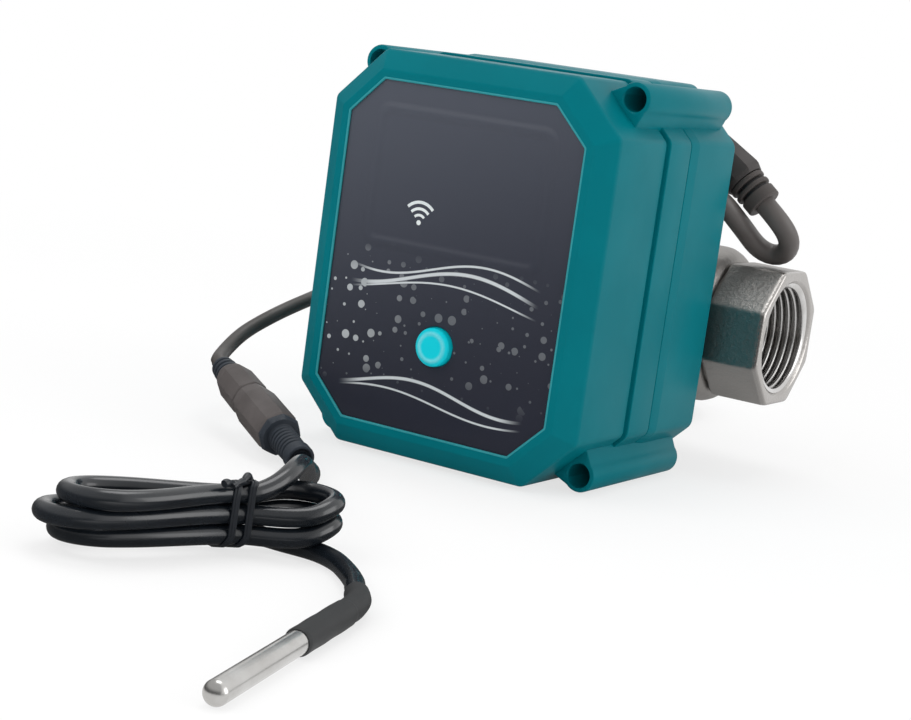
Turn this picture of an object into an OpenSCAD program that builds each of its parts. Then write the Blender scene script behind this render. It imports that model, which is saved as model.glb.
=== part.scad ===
// Smart water valve: moulded drive housing, gear train, ball valve, power lead and probe.
// Housing coordinates: x to the right, y is the depth behind the label, z up from the label's middle.

/* [Housing] */
// Width of the front cover
cover_w = 72; // [68:0.5:78]
// Height of the front cover
cover_h = 88.6; // [86:0.2:94]
// Corner chamfer of the front cover
cover_chamfer = 11.8; // [11:0.1:12.6]
// Wall thickness of both covers
wall = 2.2; // [2:0.1:2.6]
// How far the rim stands proud of the label
rim_out = 0.5; // [0.3:0.1:0.8]
// Flat width of the rim round the label
rim_w = 1.5; // [1:0.1:2]
// Width of the front bevel
bevel_w = 5; // [4:0.1:5.6]
// Depth of the front bevel
bevel_d = 3.5; // [2.5:0.1:4.5]
// Depth from the label to the raised band
band_d = 26; // [22:0.5:28]
// Step out at the raised band
band_step = 0.6; // [0.4:0.1:0.9]
// Width of the groove before the band
groove_w = 1.2; // [0.8:0.1:1.6]
// Depth of the groove before the band
groove_in = 0.5; // [0.3:0.1:0.7]
// Depth from the label to the joint between the covers
joint_d = 36.5; // [34:0.5:40]
// Depth from the label to the back of the rear cover
back_d = 60.5; // [60:0.5:66]
// Step out along the flare behind the joint
lip_step = 0.4; // [0.3:0.1:0.7]
// Depth of the flare behind the joint
lip_d = 3.5; // [2.5:0.1:5]
// Thickness of the rear cover's floor
floor_t = 2.5; // [2.2:0.1:3]
// Bevel round the back edge
back_bevel = 1; // [0.6:0.1:1.4]
// Thickness of the label film
label_t = 0.3; // [0.2:0.05:0.4]
// Thickness of the joint gasket
gasket_t = 1.2; // [0.8:0.1:1.6]

/* [Screw bosses] */
// Boss centre in from the side of the front cover
boss_in_x = 3.65; // [3.4:0.05:3.9]
// Boss centre in from the top of the front cover
boss_in_z = 3.35; // [3.1:0.05:3.6]
// Radius of a screw boss
boss_r = 3.75; // [3.6:0.05:4]
// Depth from the label to the front of a boss
boss_d = 13.4; // [10:0.2:18]
// Length of a boss behind the joint
boss_back = 20.5; // [17:0.5:22]
// Radius of the counterbore for a screw head
boss_bore_r = 2.65; // [2.55:0.05:2.8]
// Radius of a case screw's shank
case_screw_r = 1.5; // [1.25:0.05:1.6]
// Radius of a case screw's head
case_head_r = 2.45; // [2.2:0.05:2.5]
// Length of a case screw's shank
case_screw_l = 22; // [18:0.5:24]

/* [Button and board] */
// Radius of the button
button_r = 4.3; // [3.6:0.1:5]
// How far the button stands out of the label
button_out = 2; // [1.4:0.1:2.6]
// How far the button lies below the label's middle
button_drop = 18; // [12:0.5:22]
// Travel of the button
button_travel = 0.5; // [0.3:0.1:0.6]
// Depth from the label to the circuit board
board_d = 9; // [8.5:0.25:12]
// Width of the circuit board
board_w = 48; // [44:0.5:52]
// Height of the circuit board
board_h = 52; // [48:0.5:54]
// Thickness of the circuit board
board_t = 1.6; // [1:0.2:2]
// Width of the square board switch
switch_w = 6; // [5:0.2:7]
// Depth of the board switch
switch_t = 3.5; // [3:0.1:4]

/* [Gear train] */
// Module of the output pair
out_m = 1; // [0.95:0.01:1.05]
// Teeth of the output gear
out_teeth = 40; // [36:1:42]
// Module of the middle pair
mid_m = 0.8; // [0.76:0.01:0.82]
// Teeth of the second gear's wheel
mid_teeth = 38; // [34:1:40]
// Module of the motor pair
motor_m = 0.6; // [0.56:0.01:0.62]
// Teeth of the first gear's wheel
motor_teeth = 44; // [40:1:46]
// Teeth of each small gear
pinion_teeth = 12; // [12:1:13]
// Thickness of the output gear
out_t = 6; // [5:0.5:6.5]
// Thickness of the second gear's wheel
mid_t = 4; // [3:0.25:4.5]
// Thickness of the first gear's wheel
motor_t = 3.5; // [2.5:0.25:4]
// Thickness of the gearbox plate
plate_t = 2.5; // [2:0.1:3]
// Radius of the gear axles
axle_r = 1.5; // [1.2:0.1:1.8]
// Radius of the output shaft
shaft_r = 4; // [3.5:0.1:4.5]
// Radius of the motor can
motor_r = 10; // [9:0.2:10.6]
// Length of the motor can
motor_l = 24; // [20:0.5:26]

/* [Valve] */
// Distance from the rear cover's back to the pipe's axis
axis_back = 20.5; // [20.1:0.1:24]
// How far the pipe's axis lies below the label's middle
axis_drop = 11.3; // [9:0.1:13]
// Half the length of the valve from mouth to mouth
half_l = 48.5; // [46:0.5:54]
// Across flats of the octagonal ends
end_af = 32; // [31:0.25:35]
// Wall radius of the threaded ports
port_r = 13.22; // [12.8:0.02:13.4]
// Depth of the threaded ports
port_l = 17; // [14:0.5:18]
// Radius of the barrel round the ball
barrel_r = 19; // [18.8:0.1:20]
// Radius of the ball
ball_r = 14.5; // [14:0.1:14.8]
// Radius of the water way
way_r = 9; // [8:0.1:9.4]
// Radius of the stem
stem_r = 5; // [4.5:0.1:5.4]
// Radius of the spigot that goes through the rear cover
spigot_r = 9; // [8.8:0.1:9.6]
// Side of the square flange on the rear cover
flange_w = 31; // [30:0.5:33]
// Thickness of that flange
flange_t = 4; // [3.5:0.1:4.5]
// Radius of a flange screw's shank
flange_screw_r = 2; // [1.5:0.1:2.2]

/* [Leads] */
// Diameter of the power lead
power_d = 5; // [4:0.1:5.4]
// Diameter of the probe pigtail
pigtail_d = 3.2; // [2.8:0.1:3.6]
// Diameter of the probe lead
probe_lead_d = 3.6; // [3.4:0.1:3.8]
// Diameter of the steel probe
probe_d = 4; // [3.6:0.1:5]
// Length of the steel probe
probe_l = 30; // [20:0.5:40]
// Diameter of the inline connector
plug_d = 8.6; // [8:0.1:9.4]
// Turns of the power coil
coil_turns = 4.5; // [2.5:1:4.5]
// Radius of the power coil's outer turn
coil_r = 34; // [33:0.5:36]

/* [Hidden] */
$fn = 64;
// Running clearance of pieces that turn or slide
run = 0.05;
// Clearance of pieces that are seated and don't move
seat = 0.02;
// Clearance of pieces that only pass each other
clear = 0.3;
// Length by which a cut runs past the face that it opens
past = 1;
// Depth by which one step of a turned piece sinks into the step before it
weld = 0.02;

// Derived places of the housing
rear_grow = band_step + lip_step;
mid_z = cover_h / 2 + rear_grow;
axis_d = back_d + axis_back;
face_y = button_out - (button_out + axis_d + barrel_r) / 2;
floor_d = back_d - floor_t;
plate_in_d = label_t + wall;
label_inset = bevel_w + rim_w;
gasket_out = 0.7;
gasket_w = 0.9;

// Screw bosses and case screws
boss_x = cover_w / 2 - boss_in_x;
boss_z = cover_h / 2 - boss_in_z;
boss_off = (cover_chamfer - boss_in_x - boss_in_z) / sqrt(2);
boss_flare = 1.6;
boss_seat = 8.5;
head_d = joint_d - boss_seat;
case_head_t = 2.4;

// Button, switch and board
button_flange = 1.3;
button_flange_t = 1;
button_back_d = plate_in_d + 0.1 + button_flange_t;
plunger_r = 1.7;
switch_d = board_d - switch_t;
board_z = -11;
board_in = 3.5;
board_post_r = 2.6;
board_screw_r = 1;
board_head_r = 2;
board_head_t = 1.5;
board_bite = 4;
radio_size = [16, 24];
radio_t = 0.8;
radio_x = -9;
radio_in = 4;
shield_size = [14, 16];
shield_t = 2.4;
terminal_size = [20.3, 8];
terminal_t = 10;
terminal_x = 4;
terminal_in = 12;
terminal_pitch = 5;
terminal_hole_r = 1.6;

// Depths of the gear levels, from the floor forwards
collar_room = 5;
level_gap = 1.5;
plate_gap = 1;
end_play = 0.2;
out_d1 = floor_d - collar_room;
out_d0 = out_d1 - out_t;
mid_d1 = out_d0 - level_gap;
mid_d0 = mid_d1 - mid_t;
motor_d1 = mid_d0 - level_gap;
motor_d0 = motor_d1 - motor_t;
plate_d1 = motor_d0 - plate_gap;
plate_d0 = plate_d1 - plate_t;

// Gear centres, seen from the front
pressure = 25;
backlash = 0.14;
mesh_gap = 0.05;
second_turn = 120;
first_turn = 10;
motor_turn_most = 60;
motor_room = 2.5;
function dir(a) = [cos(a), sin(a)];
function pair(m, n) = m * (n + pinion_teeth) / 2 + mesh_gap;
out_pos = [0, -axis_drop];
second_pos = out_pos + pair(out_m, out_teeth) * dir(second_turn);
first_pos = second_pos + pair(mid_m, mid_teeth) * dir(first_turn);
// The motor sits up to motor_turn_most from the first gear, and lower where the top wall needs it
motor_rise = (cover_h / 2 - wall - motor_room - motor_r - first_pos.y) / pair(motor_m, motor_teeth);
motor_turn = min(motor_turn_most, asin(max(-1, min(1, motor_rise))));
motor_pos = first_pos + pair(motor_m, motor_teeth) * dir(motor_turn);

// Gearbox plate, posts, shaft, cam and switches
hub_r = 3;
post_r = 3.2;
post_x = cover_w / 2 - 11.5;
post_z = cover_h / 2 - 13.3;
post_side_z = 4;
posts = [[-post_x, post_z], [post_x, post_side_z], [-post_x, -post_z], [post_x, -post_z]];
plate_in = 6;
plate_screw_r = 1.2;
plate_screw_l = 11;
plate_head_r = 2.3;
plate_head_t = 1.8;
motor_boss_r = 4;
motor_shaft_r = 1;
motor_screw_r = 1;
motor_screw_out = 7;
motor_head_r = 1.7;
motor_head_t = 1;
bush_wall = 2;
cam_gap = 1;
cam_t = 4;
cam_r = 8;
lobe_r = 10;
lobe_half = 28;
cam_d1 = plate_d0 - cam_gap;
cam_d0 = cam_d1 - cam_t;
limit_size = [6.5, 6, 13];
limit_nub_r = 0.9;
limit_nub_l = 1;

// Output shaft collar and valve stem
gear_seat_r = shaft_r + 1;
web_hole_r = 4;
web_hole_at = 12;
collar_r = shaft_r + 2.5;
collar_d1 = floor_d - 1;
blade_t = 3;
blade_w = 9;
stem_d0 = collar_d1 + end_play;
spigot_d0 = floor_d + 0.8;
nut_r = spigot_r - 1;
nut_t = 1.5;
pack_r = stem_r + 2;
pack_d0 = spigot_d0 + 1.2;
pack_d1 = pack_d0 + 2.5;
stem_flange_r = stem_r + 2;
stem_flange_t = 1.5;
stem_flange_d1 = axis_d - ball_r - 0.6;
stem_flange_d0 = stem_flange_d1 - stem_flange_t;
tongue_t = 4;
tongue_d1 = axis_d - ball_r + 2.7;

// Valve body along the pipe
barrel_l = 20;
barrel_round = 3;
end_l = 14.5;
shoulder_l = half_l - end_l - 0.5;
end_chamfer = 0.6;
port_chamfer = 0.9;
neck_r = end_af / 2 - 0.8;
cap_r = ball_r + 1.4;
cap_in = 9;
cap_gasket_t = 1;
cap_rim_r = barrel_r - 1;
cavity_r = ball_r + 0.5;
seat_r = ball_r - 0.9;
seat_x = ball_r + 0.1;
seat_pocket = 8;
way_clear = 0.2;
bonnet_r = 13;
flange_hole = flange_w / 2 - 4;
flange_head_r = 3.2;
flange_head_t = 2;
seal_r = 0.8;
seal_out = 1.6;

// Power outlet and gland
outlet_pos = [18.5, 37.3];
outlet_r = 4.2;
outlet_l = 17.9;
gland_back = 13.5;
gland_pitch = 38.5;
gland_stem_r = 2.6;
gland_start = 1;
gland_end = 28;
gland_steps = [[3.4, 5.4, 8, outlet_r + 0.2, 15.2], [5.4, 4.8, 8, outlet_r + 15.4, 1.2],
    [4.6, 4.6, 64, outlet_r + 16.6, 1.4], [3.4, 3.4, 64, outlet_r + 18, 0.8], [4.5, 4.5, 64, outlet_r + 18.8, 1.2],
    [3.4, 3.4, 64, outlet_r + 20, 0.8], [4.3, 4.2, 64, outlet_r + 20.8, gland_end - outlet_r - 20.8]];
gland_dir = [cos(gland_pitch), 0, -sin(gland_pitch)];
gland_tip = [outlet_pos.x, back_d + gland_back, outlet_pos.y] + gland_end * gland_dir + [0, face_y, mid_z];

// Probe grommet on the left wall
grommet_d = 48;
grommet_z = -17;
grommet_hole_r = 2.6;
grommet_flange_r = 4.5;
grommet_flange_t = 2;
grommet_l = 8;
side_x = cover_w / 2 + rear_grow;
grommet_tip = [-side_x - grommet_l, grommet_d + face_y, grommet_z + mid_z];

// Routes of the leads in the part's own frame, chosen by hand
tie_t = 0.8;
tie_w = 3;
lift = tie_t + 0.1;
turn_gap = 0.45;
rings_a_loop = 24;
loop_sides = 6;
connector_a = [-50, -57, 13.3];
connector_b = [-9, -82, 3.6];
connector_dir = (connector_b - connector_a) / norm(connector_b - connector_a);
power_mid = [[46.4, 29, 57.7], [45, 32, 54.3], [41.6, 33, 52.8], [38, 31.2, 54.2], [36.1, 26.6, 57.9],
    [34.35, 21.8, 61.5], [32.4, 18.4, 64.5], [29, 16.2, 66.2], [22.5, 16.8, 66.2], [14.6, 21, 63.4], [7.6, 28.6, 59.8],
    [3.4, 37, 56.8], [1.8, 45, 52.3], [1.4, 51.2, 44.6], [1.6, 54.4, 35], [1.8, 56.6, 25.8], [2.1, 60.8, 17.4],
    [2.4, 68, 11.4]];
pigtail_mid = [[-54, -2.5, 28.2], [-57.6, -8, 27], [-58, -16, 25.3], [-58.6, -27, 22.3], [-59.2, -37, 18.7],
    [-57.4, -46, 15.6]];
near_mid = [[-1.6, -88.5, 3.4], [4.7, -98.3, 4.9], [11.2, -109.4, 8.2], [17.6, -120, 12.4], [22.5, -129.4, 15],
    [24.7, -136.4, 13.7]];
near_straight = 1.6;
far_mid = [[25, -135.6, 2], [31.6, -135, 1.9], [37.4, -136.9, 1.9], [42.8, -141, 1.9], [47.9, -146.3, 2.1]];
sleeve_a = [52.6, -152.7, 2.45];
sleeve_mid = [[55.4, -156.3, 2.6], [57.1, -160.4, 2.6]];
probe_a = [58.1, -164, probe_d / 2 + 0.6];
probe_b = [68.9, -213.1, probe_d / 2 + 0.1];
sleeve_dir = (sleeve_mid[0] - sleeve_a) / norm(sleeve_mid[0] - sleeve_a);
probe_dir = (probe_b - probe_a) / norm(probe_b - probe_a);
sleeve_l = 20;
sleeve_wall = 0.4;

// Power coil
coil_at = [-32, 82];
coil_start = 8;
coil_step = power_d + turn_gap;
coil_tail = 14;
plug_z = 5.4;
// Probe lead hank: three loops through one tie, their left folds fanned out
hank_at = [20.4, -143.6];
hank_turn = 57.5;
hank_right = 11.5;
hank_left = [24.2, 27.6, 24];
hank_aside = [-1.5, 0, 2.5];
fold_right = 6.4;
fold_left = 7.2;
hank_rise = 1.2;
hank_join = 1.5;
hank_half = (probe_lead_d + turn_gap) / 2;
hank_rings = 94;

// Vectors, splines and swept tubes
function unit(v) = v / norm(v);
function at(p, i) = p[max(0, min(i, len(p) - 1))];
function curve_at(a, b, c, d, t) = 0.5 * (2 * b + (c - a) * t + (2 * a - 5 * b + 4 * c - d) * t * t
    + (3 * b - a - 3 * c + d) * t * t * t);
// Smooth path through points whose first and last spans stay straight
function spline(p, steps) = concat([p[0]], [for (i = [1:len(p) - 3]) for (s = [0:steps - 1])
    curve_at(p[i - 1], p[i], p[i + 1], p[i + 2], s / steps)], [p[len(p) - 2], p[len(p) - 1]]);
function tangents(p) = [for (i = [0:len(p) - 1]) unit(at(p, i + 1) - at(p, i - 1))];
function first_side(t) = unit(cross(t, abs(t.z) < 0.9 ? [0, 0, 1] : [1, 0, 0]));
function carried(u, t) = unit(u - (u * t) * t);
function side_vectors(t) = [for (i = 0, u = first_side(t[0]); i < len(t); u = carried(u, at(t, i + 1)), i = i + 1) u];
function least_gap(p, d, skip) = min([for (i = [0:len(p) - 1 - skip]) for (j = [i + skip:len(p) - 1])
    norm(p[i] - p[j])]) - d;

module tube(path, d, sides) {
    t = tangents(path);
    u = side_vectors(t);
    last = len(path) - 1;
    points = [for (i = [0:last]) for (k = [0:sides - 1])
        path[i] + d / 2 * (cos(360 * k / sides) * u[i] + sin(360 * k / sides) * cross(t[i], u[i]))];
    function ring(i, k) = i * sides + k % sides;
    walls = [for (i = [0:last - 1]) for (k = [0:sides - 1]) for (f = [[ring(i, k), ring(i + 1, k), ring(i + 1, k + 1)],
        [ring(i, k), ring(i + 1, k + 1), ring(i, k + 1)]]) f];
    ends = [for (k = [1:sides - 2]) for (f = [[ring(0, 0), ring(0, k), ring(0, k + 1)],
        [ring(last, 0), ring(last, k + 1), ring(last, k)]]) f];
    polyhedron(points, concat(walls, ends));
}

// Height of layer i of a wound lead of diameter d
function layer_z(d, i) = lift + d / 2 + i * (d + turn_gap);
function ease(t) = 0.5 - 0.5 * cos(180 * max(0, min(1, t)));

// Coil: in along the upper layer, down in the half turn at the middle, out along the lower layer
function coil_point(q) = let (inward = min(q, coil_turns - q), r = coil_r - coil_step * inward,
    a = coil_start + 360 * q, fall = ease((q - coil_turns / 2) / 0.5 + 0.5))
    [coil_at.x + r * cos(a), coil_at.y + r * sin(a), layer_z(power_d, 1) * (1 - fall) + layer_z(power_d, 0) * fall];
coil_heading = unit([-sin(coil_start), cos(coil_start), 0]);
coil_end_a = coil_start + 360 * coil_turns;
coil_out = unit([-sin(coil_end_a), cos(coil_end_a), 0]);
coil_entry = coil_point(0) - power_d * coil_heading;
coil_rise = coil_point(coil_turns) + coil_tail * coil_out + [0, 0, plug_z - layer_z(power_d, 0)];
coil_tip = coil_rise + power_d * coil_out;
coil_path = concat([coil_entry], [for (i = [0:coil_turns * rings_a_loop]) coil_point(i / rings_a_loop)],
    [for (s = [0.2:0.2:0.8]) let (e = ease(s)) coil_point(coil_turns) + s * coil_tail * coil_out
        + [0, 0, e * (plug_z - layer_z(power_d, 0))]], [coil_rise, coil_tip]);

// Hank: near run, left fold, far run and right fold of each loop, the top loop first; the runs are drawn in
// to two columns at the tie, and each loop ends one layer lower
function hank_fall(q) = hank_rise * (ease(4 * q - 1) + ease(4 * q - 5) + ease(4 * q - 9))
    + (2 * hank_half - hank_rise) * (ease((q - 0.92) / 0.14) + ease((q - 1.92) / 0.14));
function hank_local(q) = let (n = min(2, floor(q)), part = min(3, floor(4 * (q - n))), w = 4 * (q - n) - part,
    left = hank_left[n], z = layer_z(probe_lead_d, 2) + hank_rise - hank_fall(q),
    x = part == 0 ? hank_right - (hank_right + left) * w : (hank_right + left) * w - left,
    s = ease(x < 0 ? -x / left : x / hank_right), y = hank_half + ((x < 0 ? fold_left : fold_right) - hank_half) * s,
    aside = x < 0 ? hank_aside[n] * s : 0)
    part == 0 ? [x, aside - y, z]
    : part == 1 ? [-left - fold_left * sin(180 * w), hank_aside[n] - fold_left * cos(180 * w), z]
    : part == 2 ? [x, aside + y, z]
    : [hank_right + fold_right * sin(180 * w), fold_right * cos(180 * w), z];
hank_q0 = (hank_right - hank_join) / (hank_right + hank_left[0]) / 4;
hank_q1 = 2.5 + (hank_left[2] + hank_join) / (hank_right + hank_left[2]) / 4;
function hank_place(p) = [hank_at.x + p.x * cos(hank_turn) - p.y * sin(hank_turn),
    hank_at.y + p.x * sin(hank_turn) + p.y * cos(hank_turn), p.z];
hank_dir = [cos(hank_turn), sin(hank_turn), 0];
hank_path = [for (i = [0:hank_rings]) hank_place(hank_local(hank_q0 + (hank_q1 - hank_q0) * i / hank_rings))];
hank_entry = hank_path[0];
hank_exit = hank_path[hank_rings];
echo(coil_gap = least_gap(coil_path, power_d, 8), hank_gap = least_gap(hank_path, probe_lead_d, 6));

// Shapes in the housing's own places: x to the right, depth behind the label, z up
module placed() translate([0, face_y, mid_z]) children();
module prism(d0, d1) translate([0, d1, 0]) rotate([90, 0, 0]) linear_extrude(d1 - d0) children();
module rod(r, d0, d1, pos = [0, 0]) translate([pos.x, d1, pos.y]) rotate([90, 0, 0]) cylinder(r = r, h = d1 - d0);
module block(size, d0, d1, pos) translate([pos.x - size.x / 2, d0, pos.y - size.y / 2]) cube([size.x, d1 - d0, size.y]);
module pipe(r, x0, x1) translate([x0, axis_d, -axis_drop]) rotate([0, 90, 0]) cylinder(r = r, h = x1 - x0);
module octagon(k) {
    a = cover_w / 2 + k;
    b = cover_h / 2 + k;
    c = cover_chamfer + k * (2 - sqrt(2));
    polygon([[a - c, b], [a, b - c], [a, c - b], [a - c, -b], [c - a, -b], [-a, c - b], [-a, b - c], [c - a, b]]);
}
function apothem(i) = i % 2 == 1 ? (cover_w / 2 + cover_h / 2 - cover_chamfer) / sqrt(2)
    : (i % 4 == 0 ? cover_w : cover_h) / 2;
// Cuts a bevel w wide and depth deep round an edge; a negative depth bevels a back edge
module edge_cuts(k, face_d, w, depth) {
    for (i = [0:7]) {
        a = apothem(i) + k;
        rotate([0, -45 * i, 0]) linear_extrude(2 * cover_h, center = true)
            polygon([[a - 1.2 * w, face_d - 0.2 * depth], [a + 0.2 * w, face_d + 1.2 * depth],
                [a + 0.2 * w, face_d - 0.2 * depth]]);
    }
}
module at_bosses() for (sx = [-1, 1]) for (sz = [-1, 1]) translate([sx * boss_x, 0, sz * boss_z]) children();
// Outline of a screw boss with its web towards the chamfer wall
module boss_outline() {
    circle(r = boss_r);
    web = boss_off + wall / 2;
    polygon([[0, -boss_r], [0, boss_r], [-web, boss_r + boss_flare], [-web, -boss_r - boss_flare]]);
}
module bosses(d0, d1) {
    for (sx = [-1, 1]) for (sz = [-1, 1]) prism(d0, d1) translate([sx * boss_x, sz * boss_z])
        rotate(atan2(sz, sx)) boss_outline();
}

// Involute gear outlines
function inv_deg(a) = tan(a) * 180 / PI - a;
function base_r(m, n) = m * n / 2 * cos(pressure);
function root_r(m, n) = m * n / 2 - 1.05 * m;
function tip_r(m, n) = m * n / 2 + 0.8 * m;
function half_angle(m, n, r) = 90 / n - backlash / (m * n) * 180 / PI + inv_deg(pressure)
    - inv_deg(acos(min(1, base_r(m, n) / r)));
function tooth(m, n) = let (r0 = max(base_r(m, n), root_r(m, n)), r1 = tip_r(m, n), h0 = half_angle(m, n, r0),
    radii = [for (i = [0:4]) r0 + (r1 - r0) * i / 4], foot = root_r(m, n) < r0 - 0.01)
    concat(foot ? [[root_r(m, n), -h0]] : [], [for (r = radii) [r, -half_angle(m, n, r)]],
        [for (i = [4:-1:0]) [radii[i], half_angle(m, n, radii[i])]], foot ? [[root_r(m, n), h0]] : []);
function mesh_phase(b, p, n1, n2) = b + 180 + ((b - p) * n1 / 360 + 0.5) * 360 / n2;
module gear(m, n, phase, d0, d1, pos) {
    prism(d0, d1) translate(pos) polygon([for (t = [0:n - 1]) for (p = tooth(m, n)) p[0] * dir(p[1] + phase + 360 * t / n)]);
}

// Front cover and what it carries
module front_cover() color([0.05, 0.46, 0.49]) placed() difference() {
    union() {
        difference() {
            union() {
                prism(-rim_out, band_d - groove_w) octagon(0);
                prism(band_d - groove_w - past, band_d + past) octagon(-groove_in);
                prism(band_d, joint_d) octagon(band_step);
            }
            edge_cuts(0, -rim_out, bevel_w, bevel_d);
            prism(plate_in_d, joint_d + past) octagon(-wall);
        }
        bosses(boss_d, joint_d);
        for (sx = [-1, 1]) for (sz = [-1, 1])
            rod(board_post_r, plate_in_d - wall / 2, board_d, [sx * (board_w / 2 - board_in), board_z + sz * (board_h / 2 - board_in)]);
    }
    prism(-rim_out - past, label_t) octagon(-label_inset);
    rod(button_r + run, -past, plate_in_d + past, [0, -button_drop]);
    difference() {
        prism(joint_d - gasket_t, joint_d + past) octagon(-gasket_out);
        prism(joint_d - gasket_t - past, joint_d + 2 * past) octagon(-gasket_out - gasket_w);
    }
    at_bosses() {
        rod(boss_bore_r, boss_d - past, head_d);
        rod(case_screw_r + seat, head_d - past, joint_d + past);
    }
    for (sx = [-1, 1]) for (sz = [-1, 1])
        rod(board_screw_r + seat, board_d - board_bite, board_d + past, [sx * (board_w / 2 - board_in), board_z + sz * (board_h / 2 - board_in)]);
}
module label_film() color([0.03, 0.03, 0.035]) placed() difference() {
    prism(0, label_t) octagon(-label_inset - seat);
    rod(button_r + clear, -past, label_t + past, [0, -button_drop]);
}
module manual_button() color([0.07, 0.74, 0.77]) placed() {
    rod(button_r, -button_out, plate_in_d + 0.1, [0, -button_drop]);
    rod(button_r + button_flange, plate_in_d + 0.1, button_back_d, [0, -button_drop]);
}
module switch_plunger() color([0.1, 0.1, 0.1]) placed()
    rod(plunger_r, button_back_d, switch_d + 1, [0, -button_drop]);
module board_switch() color([0.25, 0.25, 0.27]) placed() difference() {
    block([switch_w, switch_w], switch_d, board_d, [0, -button_drop]);
    rod(plunger_r + run, switch_d - past, switch_d + 1 + button_travel + clear, [0, -button_drop]);
}
module circuit_board() color([0.05, 0.35, 0.15]) placed() difference() {
    block([board_w, board_h], board_d, board_d + board_t, [0, board_z]);
    for (sx = [-1, 1]) for (sz = [-1, 1])
        rod(board_screw_r + seat, board_d - past, board_d + board_t + past, [sx * (board_w / 2 - board_in), board_z + sz * (board_h / 2 - board_in)]);
}
module radio_module() color([0.7, 0.7, 0.72]) placed() {
    top = board_z + board_h / 2 - radio_in;
    block(radio_size, board_d + board_t, board_d + board_t + radio_t, [radio_x, top - radio_size.y / 2]);
    block(shield_size, board_d + board_t + radio_t, board_d + board_t + radio_t + shield_t,
        [radio_x, top - radio_size.y + shield_size.y / 2 + 1]);
}
module terminal_block() color([0.1, 0.35, 0.2]) placed() difference() {
    low = board_z - board_h / 2 + terminal_in;
    block(terminal_size, board_d + board_t, board_d + board_t + terminal_t, [terminal_x, low]);
    for (i = [-1.5:1:1.5])
        rod(terminal_hole_r, board_d + board_t + terminal_t / 2, board_d + board_t + terminal_t + past,
            [terminal_x + terminal_pitch * i, low]);
}
module board_screws() color([0.75, 0.75, 0.76]) placed() for (sx = [-1, 1]) for (sz = [-1, 1]) {
    pos = [sx * (board_w / 2 - board_in), board_z + sz * (board_h / 2 - board_in)];
    rod(board_screw_r, board_d - board_bite, board_d + board_t, pos);
    rod(board_head_r, board_d + board_t, board_d + board_t + board_head_t, pos);
}

// Rear cover and the joint between the covers
module rear_cover() color([0.05, 0.44, 0.47]) placed() difference() {
    union() {
        difference() {
            prism(joint_d, back_d) octagon(rear_grow);
            edge_cuts(rear_grow, joint_d, lip_step, lip_d);
            edge_cuts(rear_grow, back_d, back_bevel, -back_bevel);
            prism(joint_d - past, floor_d) octagon(-wall);
        }
        bosses(joint_d, joint_d + boss_back);
        for (p = posts) rod(post_r, plate_d1, floor_d + floor_t / 2, p);
        rod(hub_r, mid_d1 + end_play, floor_d + floor_t / 2, first_pos);
        rod(hub_r, out_d1 + end_play, floor_d + floor_t / 2, second_pos);
        rod(outlet_r, floor_d + floor_t / 2, back_d + outlet_l, outlet_pos);
    }
    at_bosses() rod(case_screw_r + seat, joint_d - past, head_d + case_screw_l);
    for (p = posts) rod(plate_screw_r + seat, plate_d1 - past, plate_d0 + plate_screw_l, p);
    rod(axle_r + seat, mid_d1 - past, floor_d, first_pos);
    rod(axle_r + seat, out_d1 - past, floor_d, second_pos);
    rod(spigot_r + run, floor_d - past, back_d + past, out_pos);
    for (sx = [-1, 1]) for (sz = [-1, 1])
        rod(flange_screw_r + seat, floor_d - past, back_d + past, out_pos + flange_hole * [sx, sz]);
    translate([-side_x - past, grommet_d, grommet_z]) rotate([0, 90, 0])
        cylinder(r = grommet_hole_r + seat, h = rear_grow + wall + 2 * past);
    along_gland() cylinder(r = gland_stem_r + seat, h = outlet_r + past);
}
module housing_gasket() color([0.06, 0.06, 0.06]) placed() difference() {
    prism(joint_d - gasket_t, joint_d) octagon(-gasket_out - seat);
    prism(joint_d - gasket_t - past, joint_d + past) octagon(-gasket_out - gasket_w + seat);
}
module case_screws() color([0.72, 0.72, 0.74]) placed() at_bosses() difference() {
    union() {
        rod(case_screw_r, head_d, head_d + case_screw_l);
        rod(case_head_r, head_d - case_head_t, head_d);
    }
    for (a = [0, 90]) rotate([0, a, 0]) translate([-1.5, head_d - case_head_t - past, -0.3]) cube([3, past + 1.1, 0.6]);
}

// Motor, gears and shaft
module at_motor_screws(r, d0, d1) for (s = [-1, 1]) rod(r, d0, d1, motor_pos + s * motor_screw_out * dir(motor_turn + 90));
module gear_motor() color([0.62, 0.62, 0.64]) placed() difference() {
    union() {
        rod(motor_r, plate_d0 - motor_l + 2, plate_d0, motor_pos);
        rod(motor_r - 1.2, plate_d0 - motor_l, plate_d0 - motor_l + 2, motor_pos);
        rod(hub_r, plate_d0 - motor_l - 1.5, plate_d0 - motor_l, motor_pos);
        rod(motor_boss_r, plate_d0, plate_d1, motor_pos);
        for (s = [-1, 1]) block([1, 2.5], plate_d0 - motor_l - 3, plate_d0 - motor_l, motor_pos + [6 * s, 0]);
    }
    rod(motor_shaft_r + run, plate_d0 - 6, plate_d1 + past, motor_pos);
    at_motor_screws(motor_screw_r + seat, plate_d0 - 4, plate_d0 + past);
}
module motor_pinion() color([0.85, 0.65, 0.3]) placed() {
    gear(motor_m, pinion_teeth, mesh_phase(motor_turn, 0, motor_teeth, pinion_teeth), motor_d0, motor_d1, motor_pos);
    rod(motor_shaft_r, plate_d0 - 5, motor_d0, motor_pos);
}
module first_gear() color([0.9, 0.9, 0.86]) placed() difference() {
    union() {
        gear(motor_m, motor_teeth, 0, motor_d0, motor_d1, first_pos);
        gear(mid_m, pinion_teeth, mesh_phase(first_turn, 0, mid_teeth, pinion_teeth), motor_d1, mid_d1, first_pos);
        rod(hub_r, plate_d1 + end_play, motor_d0, first_pos);
    }
    rod(axle_r + run, plate_d1 - past, mid_d1 + past, first_pos);
}
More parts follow.
